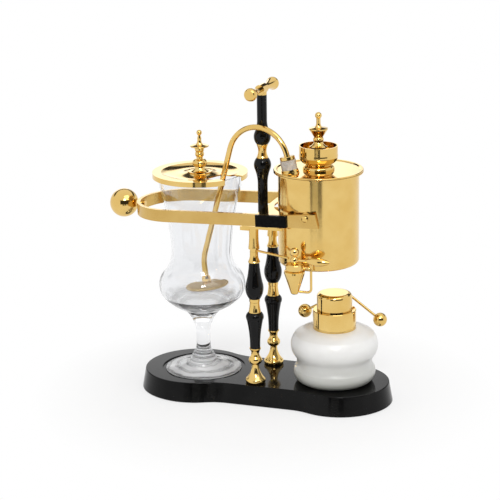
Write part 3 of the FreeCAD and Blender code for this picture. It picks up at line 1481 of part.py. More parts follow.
keep("snuffer_pin", rod("snuffer_pin", hinge.pin_radius, pin_reach * 2, f"{burner_place} * {pin_frame}"))

cap_foot = collar_roof + hinge.gap
cap_top = cap_foot + cap.height
crown_cut = cap.edge_round * ROUND_MIDDLE
cap_inside = cap.radius - cap.wall
cap_body = new_body("snuffer_cap")
revolve(cap_body, [
    (cap_inside, cap_foot), (cap.radius, cap_foot), (cap.radius, cap_top - cap.edge_round),
    (cap.radius - crown_cut, cap_top - crown_cut, cap.radius - cap.edge_round, cap_top), (0, cap_top),
    (0, cap_top - cap.wall),
    (cap_inside - cap.edge_round, cap_top - cap.wall),
    (cap_inside - crown_cut, cap_top - cap.wall - crown_cut, cap_inside,
     cap_top - cap.wall - cap.edge_round)])
leaf = new_sketch(cap_body, "YZ_Plane", -hinge.lug_half_width)
leaf_start = cap.radius - cap.wall / 2
draw(leaf, [(leaf_start, hinge_level - hinge.knuckle_radius + hinge.gap),
            (hinge.setback, hinge_level - hinge.knuckle_radius),
            (hinge.setback + hinge.knuckle_radius, hinge_level, hinge.setback,
             hinge_level + hinge.knuckle_radius),
            (leaf_start, hinge_level + hinge.knuckle_radius)])
draw_circle(leaf, hinge.setback, hinge_level, hinge.pin_radius + fit.running)
pad(cap_body, leaf, hinge.lug_half_width * 2)
apex_level = hinge_level + lever.apex_rise
rib = new_sketch(cap_body, "YZ_Plane", lever.apex_offset - lever.rib_half_width)
rib_end = lever.setback - lever.radius - fit.thread
rib_low, rib_high = apex_level - lever.rib_height, apex_level
draw(rib, [(lever.rib_root, rib_low), (rib_end, rib_low), (rib_end, rib_high), (lever.rib_root, rib_high)])
pad(cap_body, rib, lever.rib_half_width * 2)
cap_core = rod("cap_core", cap_inside, cap.height - cap.wall - cap.edge_round, frame(z=cap_foot))
keep("snuffer_cap", cut("snuffer_cap", cap_body, cap_core), burner_place)

lever_start = (lever.apex_offset - lever.left_leg * sine(lever.left_lean),
               apex_level - lever.left_leg * cosine(lever.left_lean))
lever_frame = frame(lever_start[0], lever.setback, lever_start[1], pitch=lever.left_lean)
lever_place = f"{burner_place} * {lever_frame}"
bend_reach = lever.bend * sine(lever.turn / 2) / cosine(lever.turn / 2)
bend_start = (ZERO, lever.left_leg - bend_reach)
lever_corner, right_heading = bend(bend_start, RIGHT_ANGLE, lever.bend, lever.turn)
lever_end = along(lever_corner[2:], right_heading, lever.right_leg - bend_reach)
lever_wire = swept("snuffer_wire", lever.radius, None, [(0, 0), bend_start, lever_corner, lever_end],
                   "XY_Plane", lever_place)
nodes.remove(lever_wire)
balls = []
for name, centre in (("left_ball", (ZERO, ZERO)), ("right_ball", lever_end)):
    weight = doc.addObject("Part::Sphere", name)
    weight.setExpression("Radius", lever.ball_radius.formula)
    weight.setExpression("Placement", f"{lever_place} * {frame(centre[0], ZERO, centre[1])}")
    balls.append(weight)
weighted = doc.addObject("Part::MultiFuse", "snuffer_lever")
weighted.Shapes = [lever_wire] + balls
keep("snuffer_lever", weighted)

doc.recompute()
for item in doc.Objects:
    if "Invalid" in item.State or "Error" in item.State:
        raise RuntimeError(f"{item.Label} failed: {item.State}")
for node in nodes:
    if node.Shape.isNull() or not node.Shape.isValid():
        raise RuntimeError(f"{node.Label} has no valid shape")
os.makedirs("parts", exist_ok=True)
for node in nodes:
    node.Shape.exportStep(f"parts/{node.Label}.step")
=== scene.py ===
import bpy
import math
from mathutils import Matrix, Vector

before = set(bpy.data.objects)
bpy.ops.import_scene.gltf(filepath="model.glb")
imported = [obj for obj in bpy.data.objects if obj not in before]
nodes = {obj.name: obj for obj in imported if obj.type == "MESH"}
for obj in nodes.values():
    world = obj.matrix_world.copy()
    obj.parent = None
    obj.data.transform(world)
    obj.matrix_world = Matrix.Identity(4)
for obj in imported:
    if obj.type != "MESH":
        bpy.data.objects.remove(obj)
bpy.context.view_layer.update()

# Base board: a moulded board of two round lobes with a waist, about 22 mm thick,
# finished in deep black gloss lacquer that carries a little dust and fine haze.
# It stands on a foam pad; nuts in its underside hold the column rods.
LACQUER_BLACK = (0.0015, 0.0015, 0.0016, 1)
LACQUER_HAZE = (0.006, 0.006, 0.0058, 1)
LACQUER_ROUGHNESS = (0.05, 0.14)
LACQUER_SHINE = 0.14
HAZE_TO_THE_METRE, HAZE_DETAIL = 35.0, 8.0
PEEL_TO_THE_METRE, PEEL_DETAIL = 260.0, 2.0
PEEL_STRENGTH, PEEL_DEPTH = 0.02, 0.0004
PATTERN_MIDDLE = (0.3, 0.7)
COLOUR_LIMITS = (0.35, 0.7)


def new_material(name):
    """An empty material with its surface shader, ready for its pattern."""
    material = bpy.data.materials.new(name)
    material.use_nodes = True
    tree = material.node_tree
    return material, tree, tree.nodes["Principled BSDF"]


def object_noise(tree, scale, detail, stretch=(1, 1, 1)):
    """Cloudy noise laid on the piece's own coordinates; scale is in lumps to the metre."""
    place = tree.nodes.new("ShaderNodeTexCoord")
    mapping = tree.nodes.new("ShaderNodeMapping")
    mapping.inputs["Scale"].default_value = stretch
    noise = tree.nodes.new("ShaderNodeTexNoise")
    noise.inputs["Scale"].default_value = scale
    noise.inputs["Detail"].default_value = detail
    tree.links.new(place.outputs["Object"], mapping.inputs["Vector"])
    tree.links.new(mapping.outputs["Vector"], noise.inputs["Vector"])
    return noise.outputs["Fac"]


def ranged(tree, source, wanted, given=PATTERN_MIDDLE):
    """Spread a pattern's given range over the wanted one, and hold it there."""
    spread = tree.nodes.new("ShaderNodeMapRange")
    ends = spread.inputs
    ends["From Min"].default_value, ends["From Max"].default_value = given
    ends["To Min"].default_value, ends["To Max"].default_value = wanted
    tree.links.new(source, ends["Value"])
    return spread.outputs["Result"]


def two_colours(tree, source, dark, light):
    """Blend two colours by a pattern."""
    ramp = tree.nodes.new("ShaderNodeValToRGB")
    for step, limit, colour in zip(ramp.color_ramp.elements, COLOUR_LIMITS, (dark, light)):
        step.position = limit
        step.color = colour
    tree.links.new(source, ramp.inputs["Fac"])
    return ramp.outputs["Color"]


def mottled(name, dark, light, scale, detail, stretch=(1, 1, 1)):
    """A material that drifts between two colours, with the noise that it follows."""
    material, tree, shader = new_material(name)
    pattern = object_noise(tree, scale, detail, stretch)
    tree.links.new(two_colours(tree, pattern, dark, light), shader.inputs["Base Color"])
    return material, tree, shader, pattern


def bumped(tree, shader, source, strength, distance):
    """Raise the surface by a pattern."""
    bump = tree.nodes.new("ShaderNodeBump")
    bump.inputs["Strength"].default_value = strength
    bump.inputs["Distance"].default_value = distance
    tree.links.new(source, bump.inputs["Height"])
    tree.links.new(bump.outputs["Normal"], shader.inputs["Normal"])


def finish_with(material, *names):
    """Give these nodes a finish."""
    for name in names:
        slots = nodes[name].data.materials
        slots.clear()
        slots.append(material)


lacquer, tree, shader, haze = mottled("black_gloss_lacquer", LACQUER_BLACK, LACQUER_HAZE,
                                      HAZE_TO_THE_METRE, HAZE_DETAIL)
tree.links.new(ranged(tree, haze, LACQUER_ROUGHNESS), shader.inputs["Roughness"])
shader.inputs["Specular IOR Level"].default_value = LACQUER_SHINE
bumped(tree, shader, object_noise(tree, PEEL_TO_THE_METRE, PEEL_DETAIL), PEEL_STRENGTH, PEEL_DEPTH)
finish_with(lacquer, "base_plate")

# Foot pad: a thin sheet of dark foam glued under the board, cut 2 mm inside its edge,
# so that the board seems to float on a shadow line.
FOAM_DARK = (0.015, 0.015, 0.016, 1)
FOAM_LIGHT = (0.05, 0.05, 0.05, 1)
FOAM_ROUGHNESS = 0.95
CELLS_TO_THE_METRE, CELL_DETAIL = 900.0, 3.0
CELL_STRENGTH, CELL_DEPTH = 0.4, 0.0005
foam, tree, shader, cells = mottled("dark_foam", FOAM_DARK, FOAM_LIGHT, CELLS_TO_THE_METRE, CELL_DETAIL)
shader.inputs["Roughness"].default_value = FOAM_ROUGHNESS
bumped(tree, shader, cells, CELL_STRENGTH, CELL_DEPTH)
finish_with(foam, "base_pad")

# Tie rods, nuts, pole bolt and hinge pin: plain steel bar and hexagon nuts with a bright
# zinc finish, hidden inside the turned pieces that they clamp together.
ZINC_DARK = (0.42, 0.43, 0.45, 1)
ZINC_LIGHT = (0.62, 0.62, 0.63, 1)
ZINC_ROUGHNESS = (0.22, 0.38)
CRYSTALS_TO_THE_METRE, CRYSTAL_DETAIL = 700.0, 5.0
zinc, tree, shader, crystals = mottled("bright_zinc", ZINC_DARK, ZINC_LIGHT,
                                       CRYSTALS_TO_THE_METRE, CRYSTAL_DETAIL)
tree.links.new(ranged(tree, crystals, ZINC_ROUGHNESS), shader.inputs["Roughness"])
shader.inputs["Metallic"].default_value = 1.0
finish_with(zinc, "base_nuts", "tie_rods", "pole_bolt", "snuffer_pin")

# Column fittings: bells, vases, ferrules and heads turned from brass bar, polished to a
# mirror and plated in warm gold. They are threaded on the tie rods between the balusters.
SIDES = ("front", "rear")
FITTINGS = ("foot_bell", "foot_vase", "mid_ferrule", "top_ferrule", "column_head")
GOLD_DEEP = (0.74, 0.493, 0.152, 1)
GOLD_PALE = (0.80, 0.563, 0.2, 1)
SMUDGES_TO_THE_METRE, SMUDGE_DETAIL = 42.0, 6.0
WAVES_TO_THE_METRE, WAVE_DETAIL, WAVE_STRENGTH = 150.0, 1.0, 0.06
TURNED_ROUGHNESS, TURNED_WAVE = (0.05, 0.1), 0.0002


def gold_plate(name, roughness, wave):
    """Polished gold plate with faint smudges; wave is the height of its slow waves."""
    material, tree, shader, smudges = mottled(name, GOLD_DEEP, GOLD_PALE, SMUDGES_TO_THE_METRE, SMUDGE_DETAIL)
    tree.links.new(ranged(tree, smudges, roughness), shader.inputs["Roughness"])
    shader.inputs["Metallic"].default_value = 1.0
    bumped(tree, shader, object_noise(tree, WAVES_TO_THE_METRE, WAVE_DETAIL), WAVE_STRENGTH, wave)
    return material


turned_gold = gold_plate("gold_plate_turned", TURNED_ROUGHNESS, TURNED_WAVE)
for side in SIDES:
    finish_with(turned_gold, *[f"{side}_{name}" for name in FITTINGS])

# Balusters: turned wooden spindles sprayed in the same black gloss as the base,
# two to each column, held between the gold ferrules.
BALUSTER_BLACK = (0.002, 0.002, 0.0022, 1)
BALUSTER_SHEEN = (0.006, 0.006, 0.006, 1)
BALUSTER_ROUGHNESS = (0.03, 0.07)
BALUSTER_SHINE = 0.18
GRAIN_TO_THE_METRE, GRAIN_DETAIL = 60.0, 6.0
GRAIN_ALONG_THE_SPINDLE = (1, 1, 0.25)
spindle, tree, shader, grain = mottled("black_spindle_lacquer", BALUSTER_BLACK, BALUSTER_SHEEN,
                                       GRAIN_TO_THE_METRE, GRAIN_DETAIL, GRAIN_ALONG_THE_SPINDLE)
tree.links.new(ranged(tree, grain, BALUSTER_ROUGHNESS), shader.inputs["Roughness"])
shader.inputs["Specular IOR Level"].default_value = BALUSTER_SHINE
for side in SIDES:
    finish_with(spindle, f"{side}_lower_baluster", f"{side}_upper_baluster")

# Bridge plate and pivot pins: a flat plate screwed over both column heads, with ears turned up
# for the pins that the beam swings on. Cut from brass sheet, polished and gold plated.
SHEET_ROUGHNESS, SHEET_WAVE = (0.06, 0.14), 0.0003
sheet_gold = gold_plate("gold_plate_sheet", SHEET_ROUGHNESS, SHEET_WAVE)
finish_with(sheet_gold, "bridge_plate")
finish_with(turned_gold, "pivot_pins")

# Carrying pole: two black spindles with a gold ferrule between them, on a long bolt,
# and a gold cross handle turned like two trumpets for lifting the maker.
finish_with(spindle, "pole_lower", "pole_upper")
finish_with(turned_gold, "pole_ferrule", "carry_handle")

# Glass: a stemmed vessel blown and drawn in clear heatproof glass, with a solid stem, a knop
# and a pressed foot that stands in the base's round recess. Its foot and the bowl's thick floor
# scatter a little light. Clarity is given as height over the foot and the share that passes.
GLASS_TINT = (0.93, 0.935, 0.945, 1)
GLASS_REFRACTION = 1.47
GLASS_CLARITY = ((0.0, 0.36), (0.012, 0.46), (0.018, 1.0), (0.070, 1.0), (0.076, 0.62), (0.082, 0.62),
                 (0.090, 1.0))
FOOT_RING_SCALE = 26.0
RING_WANDER, RING_WANDER_SCALE = 3.0, 1.5
RING_CLEARING, RING_BAND = (0.0, 0.6), (0.35, 0.95)
FLOW_TO_THE_METRE, FLOW_DETAIL = 22.0, 1.0
FLOW_STRENGTH, FLOW_DEPTH = 0.05, 0.0006


def node_box(name):
    """The low and high corner of a node's solid."""
    spans = list(zip(*nodes[name].bound_box))
    return Vector([min(span) for span in spans]), Vector([max(span) for span in spans])


def rise(tree, low, high):
    """Nought at a low level of the piece and one at a high one."""
    place = tree.nodes.new("ShaderNodeTexCoord")
    parts = tree.nodes.new("ShaderNodeSeparateXYZ")
    tree.links.new(place.outputs["Object"], parts.inputs["Vector"])
    return ranged(tree, parts.outputs["Z"], (0.0, 1.0), (low, high))


glass_low, glass_high = node_box("glass_vessel")
glass_middle = (glass_low + glass_high) / 2
clear_glass, tree, shader = new_material("clear_blown_glass")
shader.inputs["Base Color"].default_value = GLASS_TINT
shader.inputs["Roughness"].default_value = 0.0
shader.inputs["IOR"].default_value = GLASS_REFRACTION
graded_height = GLASS_CLARITY[-1][0]
clarity = tree.nodes.new("ShaderNodeValToRGB")
tree.links.new(rise(tree, glass_low.z, glass_low.z + graded_height), clarity.inputs["Fac"])
steps = clarity.color_ramp.elements
while len(steps) < len(GLASS_CLARITY):
    steps.new(1.0)
for step, (level, clear) in zip(steps, GLASS_CLARITY):
    step.position = level / graded_height
    step.color = (clear, clear, clear, 1)
place = tree.nodes.new("ShaderNodeTexCoord")
centred = tree.nodes.new("ShaderNodeMapping")
centred.inputs["Location"].default_value = (-glass_middle.x, -glass_middle.y, 0)
rings = tree.nodes.new("ShaderNodeTexWave")
rings.wave_type = "RINGS"
rings.rings_direction = "Z"
rings.inputs["Scale"].default_value = FOOT_RING_SCALE
rings.inputs["Distortion"].default_value = RING_WANDER
rings.inputs["Detail Scale"].default_value = RING_WANDER_SCALE
tree.links.new(place.outputs["Object"], centred.inputs["Vector"])
tree.links.new(centred.outputs["Vector"], rings.inputs["Vector"])
ringed = tree.nodes.new("ShaderNodeMix")
tree.links.new(ranged(tree, rings.outputs["Fac"], RING_CLEARING, RING_BAND), ringed.inputs["Factor"])
tree.links.new(clarity.outputs["Color"], ringed.inputs["A"])
ringed.inputs["B"].default_value = 1.0
tree.links.new(ringed.outputs["Result"], shader.inputs["Transmission Weight"])
bumped(tree, shader, object_noise(tree, FLOW_TO_THE_METRE, FLOW_DETAIL), FLOW_STRENGTH, FLOW_DEPTH)
finish_with(clear_glass, "glass_vessel")

# Lid: a spun brass plate with a turned-down skirt, a shallow dish and a slot for the tube,
# and a turned knob riveted at its middle. All gold plated.
finish_with(sheet_gold, "lid_plate")
finish_with(turned_gold, "lid_knob")

# Beam: a flat brass band bent round the glass and spliced to two fork arms, with a yoke plate
# between the arms. Its long faces keep a fine grain from the polishing belt.
BELT_DEEP = (0.61, 0.395, 0.118, 1)
BELT_PALE = (0.67, 0.455, 0.155, 1)
BELT_ROUGHNESS = (0.1, 0.24)
BELT_LINES_TO_THE_METRE, BELT_DETAIL = 2400.0, 2.0
BELT_ALONG_THE_BAND = (0.06, 0.06, 1)
BELT_STRENGTH, BELT_DEPTH = 0.05, 0.00005
belt_gold, tree, shader, _ = mottled("gold_plate_belt_polished", BELT_DEEP, BELT_PALE,
                                     SMUDGES_TO_THE_METRE, SMUDGE_DETAIL)
belt_lines = object_noise(tree, BELT_LINES_TO_THE_METRE, BELT_DETAIL, BELT_ALONG_THE_BAND)
tree.links.new(ranged(tree, belt_lines, BELT_ROUGHNESS), shader.inputs["Roughness"])
shader.inputs["Metallic"].default_value = 1.0
bumped(tree, shader, belt_lines, BELT_STRENGTH, BELT_DEPTH)
finish_with(belt_gold, "beam_ring", "front_fork_arm", "rear_fork_arm")
finish_with(sheet_gold, "yoke_plate")

# Bearing blocks: moulded black caps clipped over the ends of the pivot pins, on the outside
# of the fork arms.
BLOCK_BLACK = (0.002, 0.002, 0.0022, 1)
BLOCK_GREY = (0.006, 0.006, 0.006, 1)
BLOCK_ROUGHNESS = (0.12, 0.24)
BLOCK_SHINE = 0.05
MOTTLE_TO_THE_METRE, MOTTLE_DETAIL = 420.0, 4.0
block_plastic, tree, shader, mottle = mottled("black_moulded_plastic", BLOCK_BLACK, BLOCK_GREY,
                                              MOTTLE_TO_THE_METRE, MOTTLE_DETAIL)
tree.links.new(ranged(tree, mottle, BLOCK_ROUGHNESS), shader.inputs["Roughness"])
shader.inputs["Specular IOR Level"].default_value = BLOCK_SHINE
finish_with(block_plastic, "front_bearing_block", "rear_bearing_block")

# Counterweight: a solid brass ball on a shouldered stud, screwed through the ring's far end.
# Both are turned and plated like the column fittings.
finish_with(turned_gold, "counterweight_stud", "counterweight_ball")

# Kettle: a can spun from brass sheet with a rolled flange and a flat top plate, hung on two
# soldered bosses by shouldered screws. The plating is bright, with slow waves from the spinning.
CAN_ROUGHNESS, CAN_WAVE = (0.11, 0.17), 0.0005
kettle_gold = gold_plate("gold_plate_spun_can", CAN_ROUGHNESS, CAN_WAVE)
finish_with(kettle_gold, "kettle_body")
finish_with(sheet_gold, "kettle_top")
finish_with(turned_gold, "kettle_bosses", "trunnion_screws")

# Filler: a turned open cup over the kettle's filling hole and a turned plug with a soft ring,
# which lifts out to pour water in.
SILICONE_DEEP = (0.42, 0.37, 0.32, 1)
SILICONE_PALE = (0.60, 0.55, 0.49, 1)
SILICONE_ROUGHNESS = (0.28, 0.42)
SILICONE_GLOW, SILICONE_DEPTH = 0.35, (0.004, 0.003, 0.0025)
CLOUDS_TO_THE_METRE, CLOUD_DETAIL = 180.0, 3.0
silicone, tree, shader, clouds = mottled("milky_silicone", SILICONE_DEEP, SILICONE_PALE,
                                         CLOUDS_TO_THE_METRE, CLOUD_DETAIL)
tree.links.new(ranged(tree, clouds, SILICONE_ROUGHNESS), shader.inputs["Roughness"])
shader.inputs["Subsurface Weight"].default_value = SILICONE_GLOW
shader.inputs["Subsurface Radius"].default_value = SILICONE_DEPTH
finish_with(turned_gold, "filler_cup", "filler_plug")
finish_with(silicone, "filler_seal")

# Siphon tube: one thin brass tube bent over from the kettle into the glass, gold plated.
# A socket ring, a silicone bung and a nut seal it in the kettle's top.
finish_with(turned_gold, "siphon_tube", "tube_socket", "tube_nut", "filter_nut")
finish_with(silicone, "tube_bung")

# Filter: a flat strainer at the tube's lower end, covered with a drawn-up cotton cloth
# that coffee has left a little yellow.
CLOTH_THREAD = (0.90, 0.70, 0.40, 1)
CLOTH_GAP = (0.66, 0.48, 0.24, 1)
CLOTH_ROUGHNESS, CLOTH_SHEEN = 0.8, 0.25
THREADS_TO_THE_METRE = 1400.0
THREAD_STRENGTH, THREAD_DEPTH = 0.35, 0.0003
cloth, tree, shader = new_material("filter_cloth")
place = tree.nodes.new("ShaderNodeTexCoord")
threads = tree.nodes.new("ShaderNodeTexChecker")
threads.inputs["Scale"].default_value = THREADS_TO_THE_METRE
tree.links.new(place.outputs["Object"], threads.inputs["Vector"])
weave = threads.outputs["Fac"]
tree.links.new(two_colours(tree, weave, CLOTH_GAP, CLOTH_THREAD), shader.inputs["Base Color"])
shader.inputs["Roughness"].default_value = CLOTH_ROUGHNESS
shader.inputs["Sheen Weight"].default_value = CLOTH_SHEEN
bumped(tree, shader, weave, THREAD_STRENGTH, THREAD_DEPTH)
finish_with(cloth, "filter_disc")

# Tap: a cast elbow and tapered spout soldered to the kettle, a key that turns in it by a
# rounded grip, and a bent wire finger loop. Polished and gold plated.
finish_with(turned_gold, "tap_body", "tap_loop", "tap_key")

# Burner: a blown jar of thick white glass, etched to a soft frost, with a spun gold collar
# over its neck and a gold wick tube. Towards its foot its colour is painted greyer: painted shade for the
# black board seen through the frost.
JAR_WHITE = (0.86, 0.855, 0.84, 1)
# Painted shade: the jar's colour runs from this grey at its foot up to white between the two heights over the
# foot.
JAR_PAINTED_SHADE_GREY = (0.42, 0.425, 0.39, 1)
JAR_FULL_PAINTED_SHADE_HEIGHT, JAR_PAINTED_SHADE_END_HEIGHT = 0.003, 0.049
JAR_ROUGHNESS, JAR_CLOUDS = (0.3, 0.42), (0.92, 1.0)
JAR_GLOW, JAR_DEPTH = 0.3, (0.012, 0.012, 0.011)
JAR_COAT, JAR_COAT_ROUGHNESS = 0.5, 0.28
ETCHING_TO_THE_METRE, ETCHING_DETAIL = 90.0, 6.0
FROST_TO_THE_METRE, FROST_DETAIL = 1800.0, 2.0
FROST_STRENGTH, FROST_DEPTH = 0.05, 0.0001


def joined(tree, operation, first, *others):
    """Join values in turn by one operation: MULTIPLY for where all hold, MAXIMUM for where any does."""
    for other in others:
        join = tree.nodes.new("ShaderNodeMath")
        join.operation = operation
        tree.links.new(first, join.inputs[0])
        tree.links.new(other, join.inputs[1])
        first = join.outputs[0]
    return first


def mixed(tree, share, first, second):
    """Mix two colours by a share; each is a written colour or another node's output."""
    mix = tree.nodes.new("ShaderNodeMix")
    mix.data_type = "RGBA"
    tree.links.new(share, mix.inputs["Factor"])
    for socket, colour in (("A", first), ("B", second)):
        if isinstance(colour, tuple):
            mix.inputs[socket].default_value = colour
        else:
            tree.links.new(colour, mix.inputs[socket])
    return mix.outputs["Result"]


jar_foot = node_box("burner_jar")[0].z
frost, tree, shader = new_material("frosted_white_glass")
etching = object_noise(tree, ETCHING_TO_THE_METRE, ETCHING_DETAIL)
# Painted shade: this mask turns the jar grey towards its foot; the etching clouds then vary the white.
out_of_painted_shade = rise(tree, jar_foot + JAR_FULL_PAINTED_SHADE_HEIGHT, jar_foot + JAR_PAINTED_SHADE_END_HEIGHT)
clouds_and_painted_shade = joined(tree, "MULTIPLY", out_of_painted_shade, ranged(tree, etching, JAR_CLOUDS))
tree.links.new(mixed(tree, clouds_and_painted_shade, JAR_PAINTED_SHADE_GREY, JAR_WHITE), shader.inputs["Base Color"])
tree.links.new(ranged(tree, etching, JAR_ROUGHNESS), shader.inputs["Roughness"])
shader.inputs["Subsurface Weight"].default_value = JAR_GLOW
shader.inputs["Subsurface Radius"].default_value = JAR_DEPTH
shader.inputs["Coat Weight"].default_value = JAR_COAT
shader.inputs["Coat Roughness"].default_value = JAR_COAT_ROUGHNESS
bumped(tree, shader, object_noise(tree, FROST_TO_THE_METRE, FROST_DETAIL), FROST_STRENGTH, FROST_DEPTH)
finish_with(frost, "burner_jar")
finish_with(turned_gold, "burner_collar", "wick_tube")

# Wick: a thick cord of braided white cotton, drawn up through the wick tube from the fuel
# in the jar. The cap hides its end while the burner is out.
WICK_SHADE = (0.55, 0.52, 0.45, 1)
WICK_WHITE = (0.85, 0.83, 0.78, 1)
WICK_ROUGHNESS = 0.9
BRAID_TO_THE_METRE, BRAID_DETAIL = 1500.0, 3.0
BRAID_ALONG_THE_WICK = (1, 1, 0.4)
BRAID_STRENGTH, BRAID_DEPTH = 0.5, 0.0006
cotton, tree, shader, braid = mottled("braided_cotton", WICK_SHADE, WICK_WHITE,
                                      BRAID_TO_THE_METRE, BRAID_DETAIL, BRAID_ALONG_THE_WICK)
shader.inputs["Roughness"].default_value = WICK_ROUGHNESS
bumped(tree, shader, braid, BRAID_STRENGTH, BRAID_DEPTH)
finish_with(cotton, "wick")

# Snuffer: a drawn gold cap hinged at the back of the collar. A V of wire with a ball at each end
# is soldered to its back, so that the cap drops over the flame as the kettle rises.
finish_with(turned_gold, "snuffer_cap", "snuffer_lever")

# Stay rod: a thin gold-plated brass wire with an eye that turns round the front column.
# It is swung in under the tap to steady the kettle.
finish_with(turned_gold, "stay_rod")

# Floor: a plain pale sheet under the maker. To the camera, in metal
# and through glass it shows white, apart from a trace of the maker's shadow near the base.
FLOOR_HALF = 3.0
FLOOR_WHITE = (0.93, 0.93, 0.93, 1)
FLOOR_ROUGHNESS = 0.9
SHADOW_KEPT = 0.35
SHADOW_REACH = (0.17, 0.27)
bpy.ops.object.select_all(action="DESELECT")
bpy.ops.mesh.primitive_plane_add(size=2 * FLOOR_HALF)
floor = bpy.context.object
floor.name = "floor"
paper, tree, shader = new_material("pale_floor")
shader.inputs["Base Color"].default_value = FLOOR_WHITE
shader.inputs["Roughness"].default_value = FLOOR_ROUGHNESS
glow = tree.nodes.new("ShaderNodeEmission")
rays = tree.nodes.new("ShaderNodeLightPath").outputs
seen = joined(tree, "MAXIMUM", rays["Is Camera Ray"], rays["Is Glossy Ray"], rays["Is Transmission Ray"])
place = tree.nodes.new("ShaderNodeTexCoord")
reach = tree.nodes.new("ShaderNodeVectorMath")
reach.operation = "LENGTH"
tree.links.new(place.outputs["Object"], reach.inputs[0])
lit = ranged(tree, reach.outputs["Value"], (1 - SHADOW_KEPT, 1.0), SHADOW_REACH)
blend = tree.nodes.new("ShaderNodeMixShader")
tree.links.new(joined(tree, "MULTIPLY", seen, lit), blend.inputs["Fac"])
tree.links.new(shader.outputs["BSDF"], blend.inputs[1])
tree.links.new(glow.outputs["Emission"], blend.inputs[2])
tree.links.new(blend.outputs["Shader"], tree.nodes["Material Output"].inputs["Surface"])
floor.data.materials.append(paper)

# Camera: a long lens at the photograph's height and angle, leaning by less than a degree.
# Its place was fitted to the outlines of the base, the kettle and the glass.
CAMERA_AZIMUTH = math.radians(18.964)
CAMERA_ELEVATION = math.radians(16.123)
CAMERA_ROLL = math.radians(-0.780)
CAMERA_DISTANCE = 2.06925
CAMERA_TARGET = Vector((-0.0161, 0.0, 0.168))
LENS_LENGTH_MM, SENSOR_WIDTH_MM = 131.74, 36.0
towards_lens = Vector((math.sin(CAMERA_AZIMUTH), -math.cos(CAMERA_AZIMUTH), 0))
right = Vector((math.cos(CAMERA_AZIMUTH), math.sin(CAMERA_AZIMUTH), 0))
back = towards_lens * math.cos(CAMERA_ELEVATION) + Vector((0, 0, math.sin(CAMERA_ELEVATION)))
up = back.cross(right)
turned_right = right * math.cos(CAMERA_ROLL) + up * math.sin(CAMERA_ROLL)
turned_up = up * math.cos(CAMERA_ROLL) - right * math.sin(CAMERA_ROLL)
lens = bpy.data.cameras.new("photo_camera")
lens.lens = LENS_LENGTH_MM
lens.sensor_width = SENSOR_WIDTH_MM
camera = bpy.data.objects.new("photo_camera", lens)
camera.matrix_world = Matrix((turned_right, turned_up, back)).transposed().to_4x4()
camera.location = CAMERA_TARGET + back * CAMERA_DISTANCE
bpy.context.scene.collection.objects.link(camera)
bpy.context.scene.camera = camera

# Studio: a white tent, open in front where the lens looks in and dark above the backdrop's edge.
# Polished metal and the reflections inside glass show these openings. The camera sees plain white,
# also straight through glass, and the tent lights matt surfaces evenly.
PLAIN_WHITE = (1, 1, 1, 1)
TENT_GREY = (0.62, 0.62, 0.62, 1)
GAP_DARK = (0.04, 0.04, 0.04, 1)
GAP_SOFT = 0.06
FRONT_GAP_RISE, FRONT_GAP_SIDE, FRONT_GAP_FACING = (-0.02, 0.45), (-0.45, 0.74), (0.0, 0.3)
BACK_GAP_RISE, BACK_GAP_FACING = (0.37, 0.54), (-0.3, -0.5)
SIDE_GAP_RISE, SIDE_GAP_SIDE, SIDE_GAP_FACING = (0.1, 0.42), (0.1, 0.5), (0.0, -0.2)
HALF_A_BOUNCE = 0.5


def along(tree, axis):
    """How far a ray runs along an axis, from -1 to 1."""
    direction = tree.nodes.new("ShaderNodeTexCoord")
    dot = tree.nodes.new("ShaderNodeVectorMath")
    dot.operation = "DOT_PRODUCT"
    dot.inputs[1].default_value = axis
    tree.links.new(direction.outputs["Generated"], dot.inputs[0])
    return dot.outputs["Value"]


def smooth_step(tree, source, start, end):
    """Nought at the start and one at the end, with a soft edge between them."""
    step = tree.nodes.new("ShaderNodeMapRange")
    step.interpolation_type = "SMOOTHSTEP"
    step.inputs["From Min"].default_value = start
    step.inputs["From Max"].default_value = end
    tree.links.new(source, step.inputs["Value"])
    return step.outputs["Result"]


def between(tree, source, low, high):
    """One between two limits, with soft edges outside them."""
    over = smooth_step(tree, source, low - GAP_SOFT, low)
    under = smooth_step(tree, source, high + GAP_SOFT, high)
    return joined(tree, "MULTIPLY", over, under)


world = bpy.data.worlds.new("white_tent")
bpy.context.scene.world = world
world.use_nodes = True
tree = world.node_tree
height = along(tree, (0, 0, 1))
facing = along(tree, towards_lens)
across = along(tree, right)
front_gap = joined(tree, "MULTIPLY", between(tree, height, *FRONT_GAP_RISE),
                   between(tree, across, *FRONT_GAP_SIDE), smooth_step(tree, facing, *FRONT_GAP_FACING))
back_gap = joined(tree, "MULTIPLY", between(tree, height, *BACK_GAP_RISE),
                  smooth_step(tree, facing, *BACK_GAP_FACING))
side_gap = joined(tree, "MULTIPLY", between(tree, height, *SIDE_GAP_RISE),
                  between(tree, across, *SIDE_GAP_SIDE), smooth_step(tree, facing, *SIDE_GAP_FACING))
gaps = joined(tree, "MAXIMUM", front_gap, back_gap, side_gap)
rays = tree.nodes.new("ShaderNodeLightPath").outputs
mirrored = joined(tree, "MAXIMUM", rays["Is Glossy Ray"], rays["Is Transmission Ray"])
tent = mixed(tree, mirrored, TENT_GREY, mixed(tree, gaps, PLAIN_WHITE, GAP_DARK))
no_mirror_yet = tree.nodes.new("ShaderNodeMath")
no_mirror_yet.operation = "LESS_THAN"
no_mirror_yet.inputs[1].default_value = HALF_A_BOUNCE
tree.links.new(rays["Glossy Depth"], no_mirror_yet.inputs[0])
straight_through = joined(tree, "MULTIPLY", rays["Is Transmission Ray"], no_mirror_yet.outputs[0])
clear_view = joined(tree, "MAXIMUM", rays["Is Camera Ray"], straight_through)
tree.links.new(mixed(tree, clear_view, tent, PLAIN_WHITE), tree.nodes["Background"].inputs["Color"])

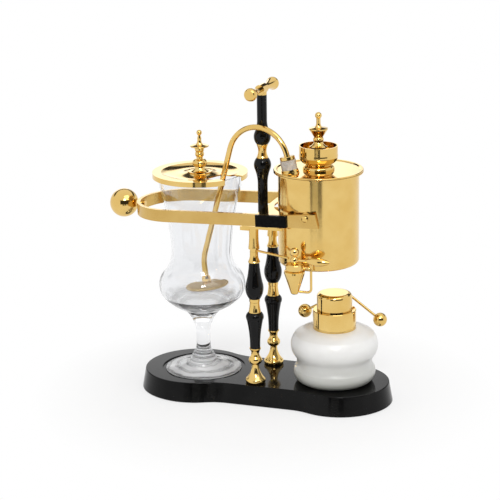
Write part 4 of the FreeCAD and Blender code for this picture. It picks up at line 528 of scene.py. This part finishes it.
# Cards: a grey card between two dark flags in front of the table, below the picture. They give the
# kettle's wall its pair of dark upright lines, and only reflections show them.
CARD_REACH, CARD_HEIGHT = 0.86, 0.18
CARDS = (
    ("flag_left", -6.0, -1.0, (0.05, 0.05, 0.05, 1)),
    ("card_grey", -1.0, 15.0, (0.66, 0.65, 0.60, 1)),
    ("flag_right", 15.0, 26.0, (0.14, 0.14, 0.13, 1)),
)
kettle_low, kettle_high = node_box("kettle_body")
kettle_middle = (kettle_low + kettle_high) / 2
for name, first_degree, last_degree, shade in CARDS:
    heading = math.radians((first_degree + last_degree) / 2)
    width = 2 * CARD_REACH * math.tan(math.radians((last_degree - first_degree) / 2))
    spot = Vector((kettle_middle.x, 0, CARD_HEIGHT / 2))
    spot += CARD_REACH * Vector((math.sin(heading), -math.cos(heading), 0))
    bpy.ops.object.select_all(action="DESELECT")
    bpy.ops.mesh.primitive_plane_add(size=1, location=spot, rotation=(math.pi / 2, 0, heading))
    card = bpy.context.object
    card.name = name
    card.scale = (width, CARD_HEIGHT, 1)
    bpy.ops.object.transform_apply(location=True, rotation=True, scale=True)
    matt, tree, shader = new_material(f"{name}_paper")
    shader.inputs["Base Color"].default_value = shade
    shader.inputs["Roughness"].default_value = 1.0
    shader.inputs["Specular IOR Level"].default_value = 0.0
    card.data.materials.append(matt)
    card.visible_camera = False
    card.visible_diffuse = False
    card.visible_transmission = False
    card.visible_shadow = False

# Lamps: a large soft box above on the right, a low panel behind that whitens level tops,
# and a smaller box by the lens for the points of light on turned pieces.
LAMPS = (
    ("soft_box", (0.6, -0.5, 1.35), 4.0, (0.9, 0.9)),
    ("back_panel", (-0.5, 1.45, 0.6), 1.5, (1.6, 0.4)),
    ("front_box", (0.55, -1.45, 1.4), 11.0, (0.36, 0.36)),
)
for name, spot, watts, (width, length) in LAMPS:
    lamp = bpy.data.lights.new(name, "AREA")
    lamp.shape = "RECTANGLE"
    lamp.size = width
    lamp.size_y = length
    lamp.energy = watts
    holder = bpy.data.objects.new(name, lamp)
    holder.location = spot
    holder.rotation_mode = "QUATERNION"
    holder.rotation_quaternion = (CAMERA_TARGET - Vector(spot)).to_track_quat("-Z", "Y")
    bpy.context.scene.collection.objects.link(holder)
bpy.context.scene.view_settings.view_transform = "Standard"
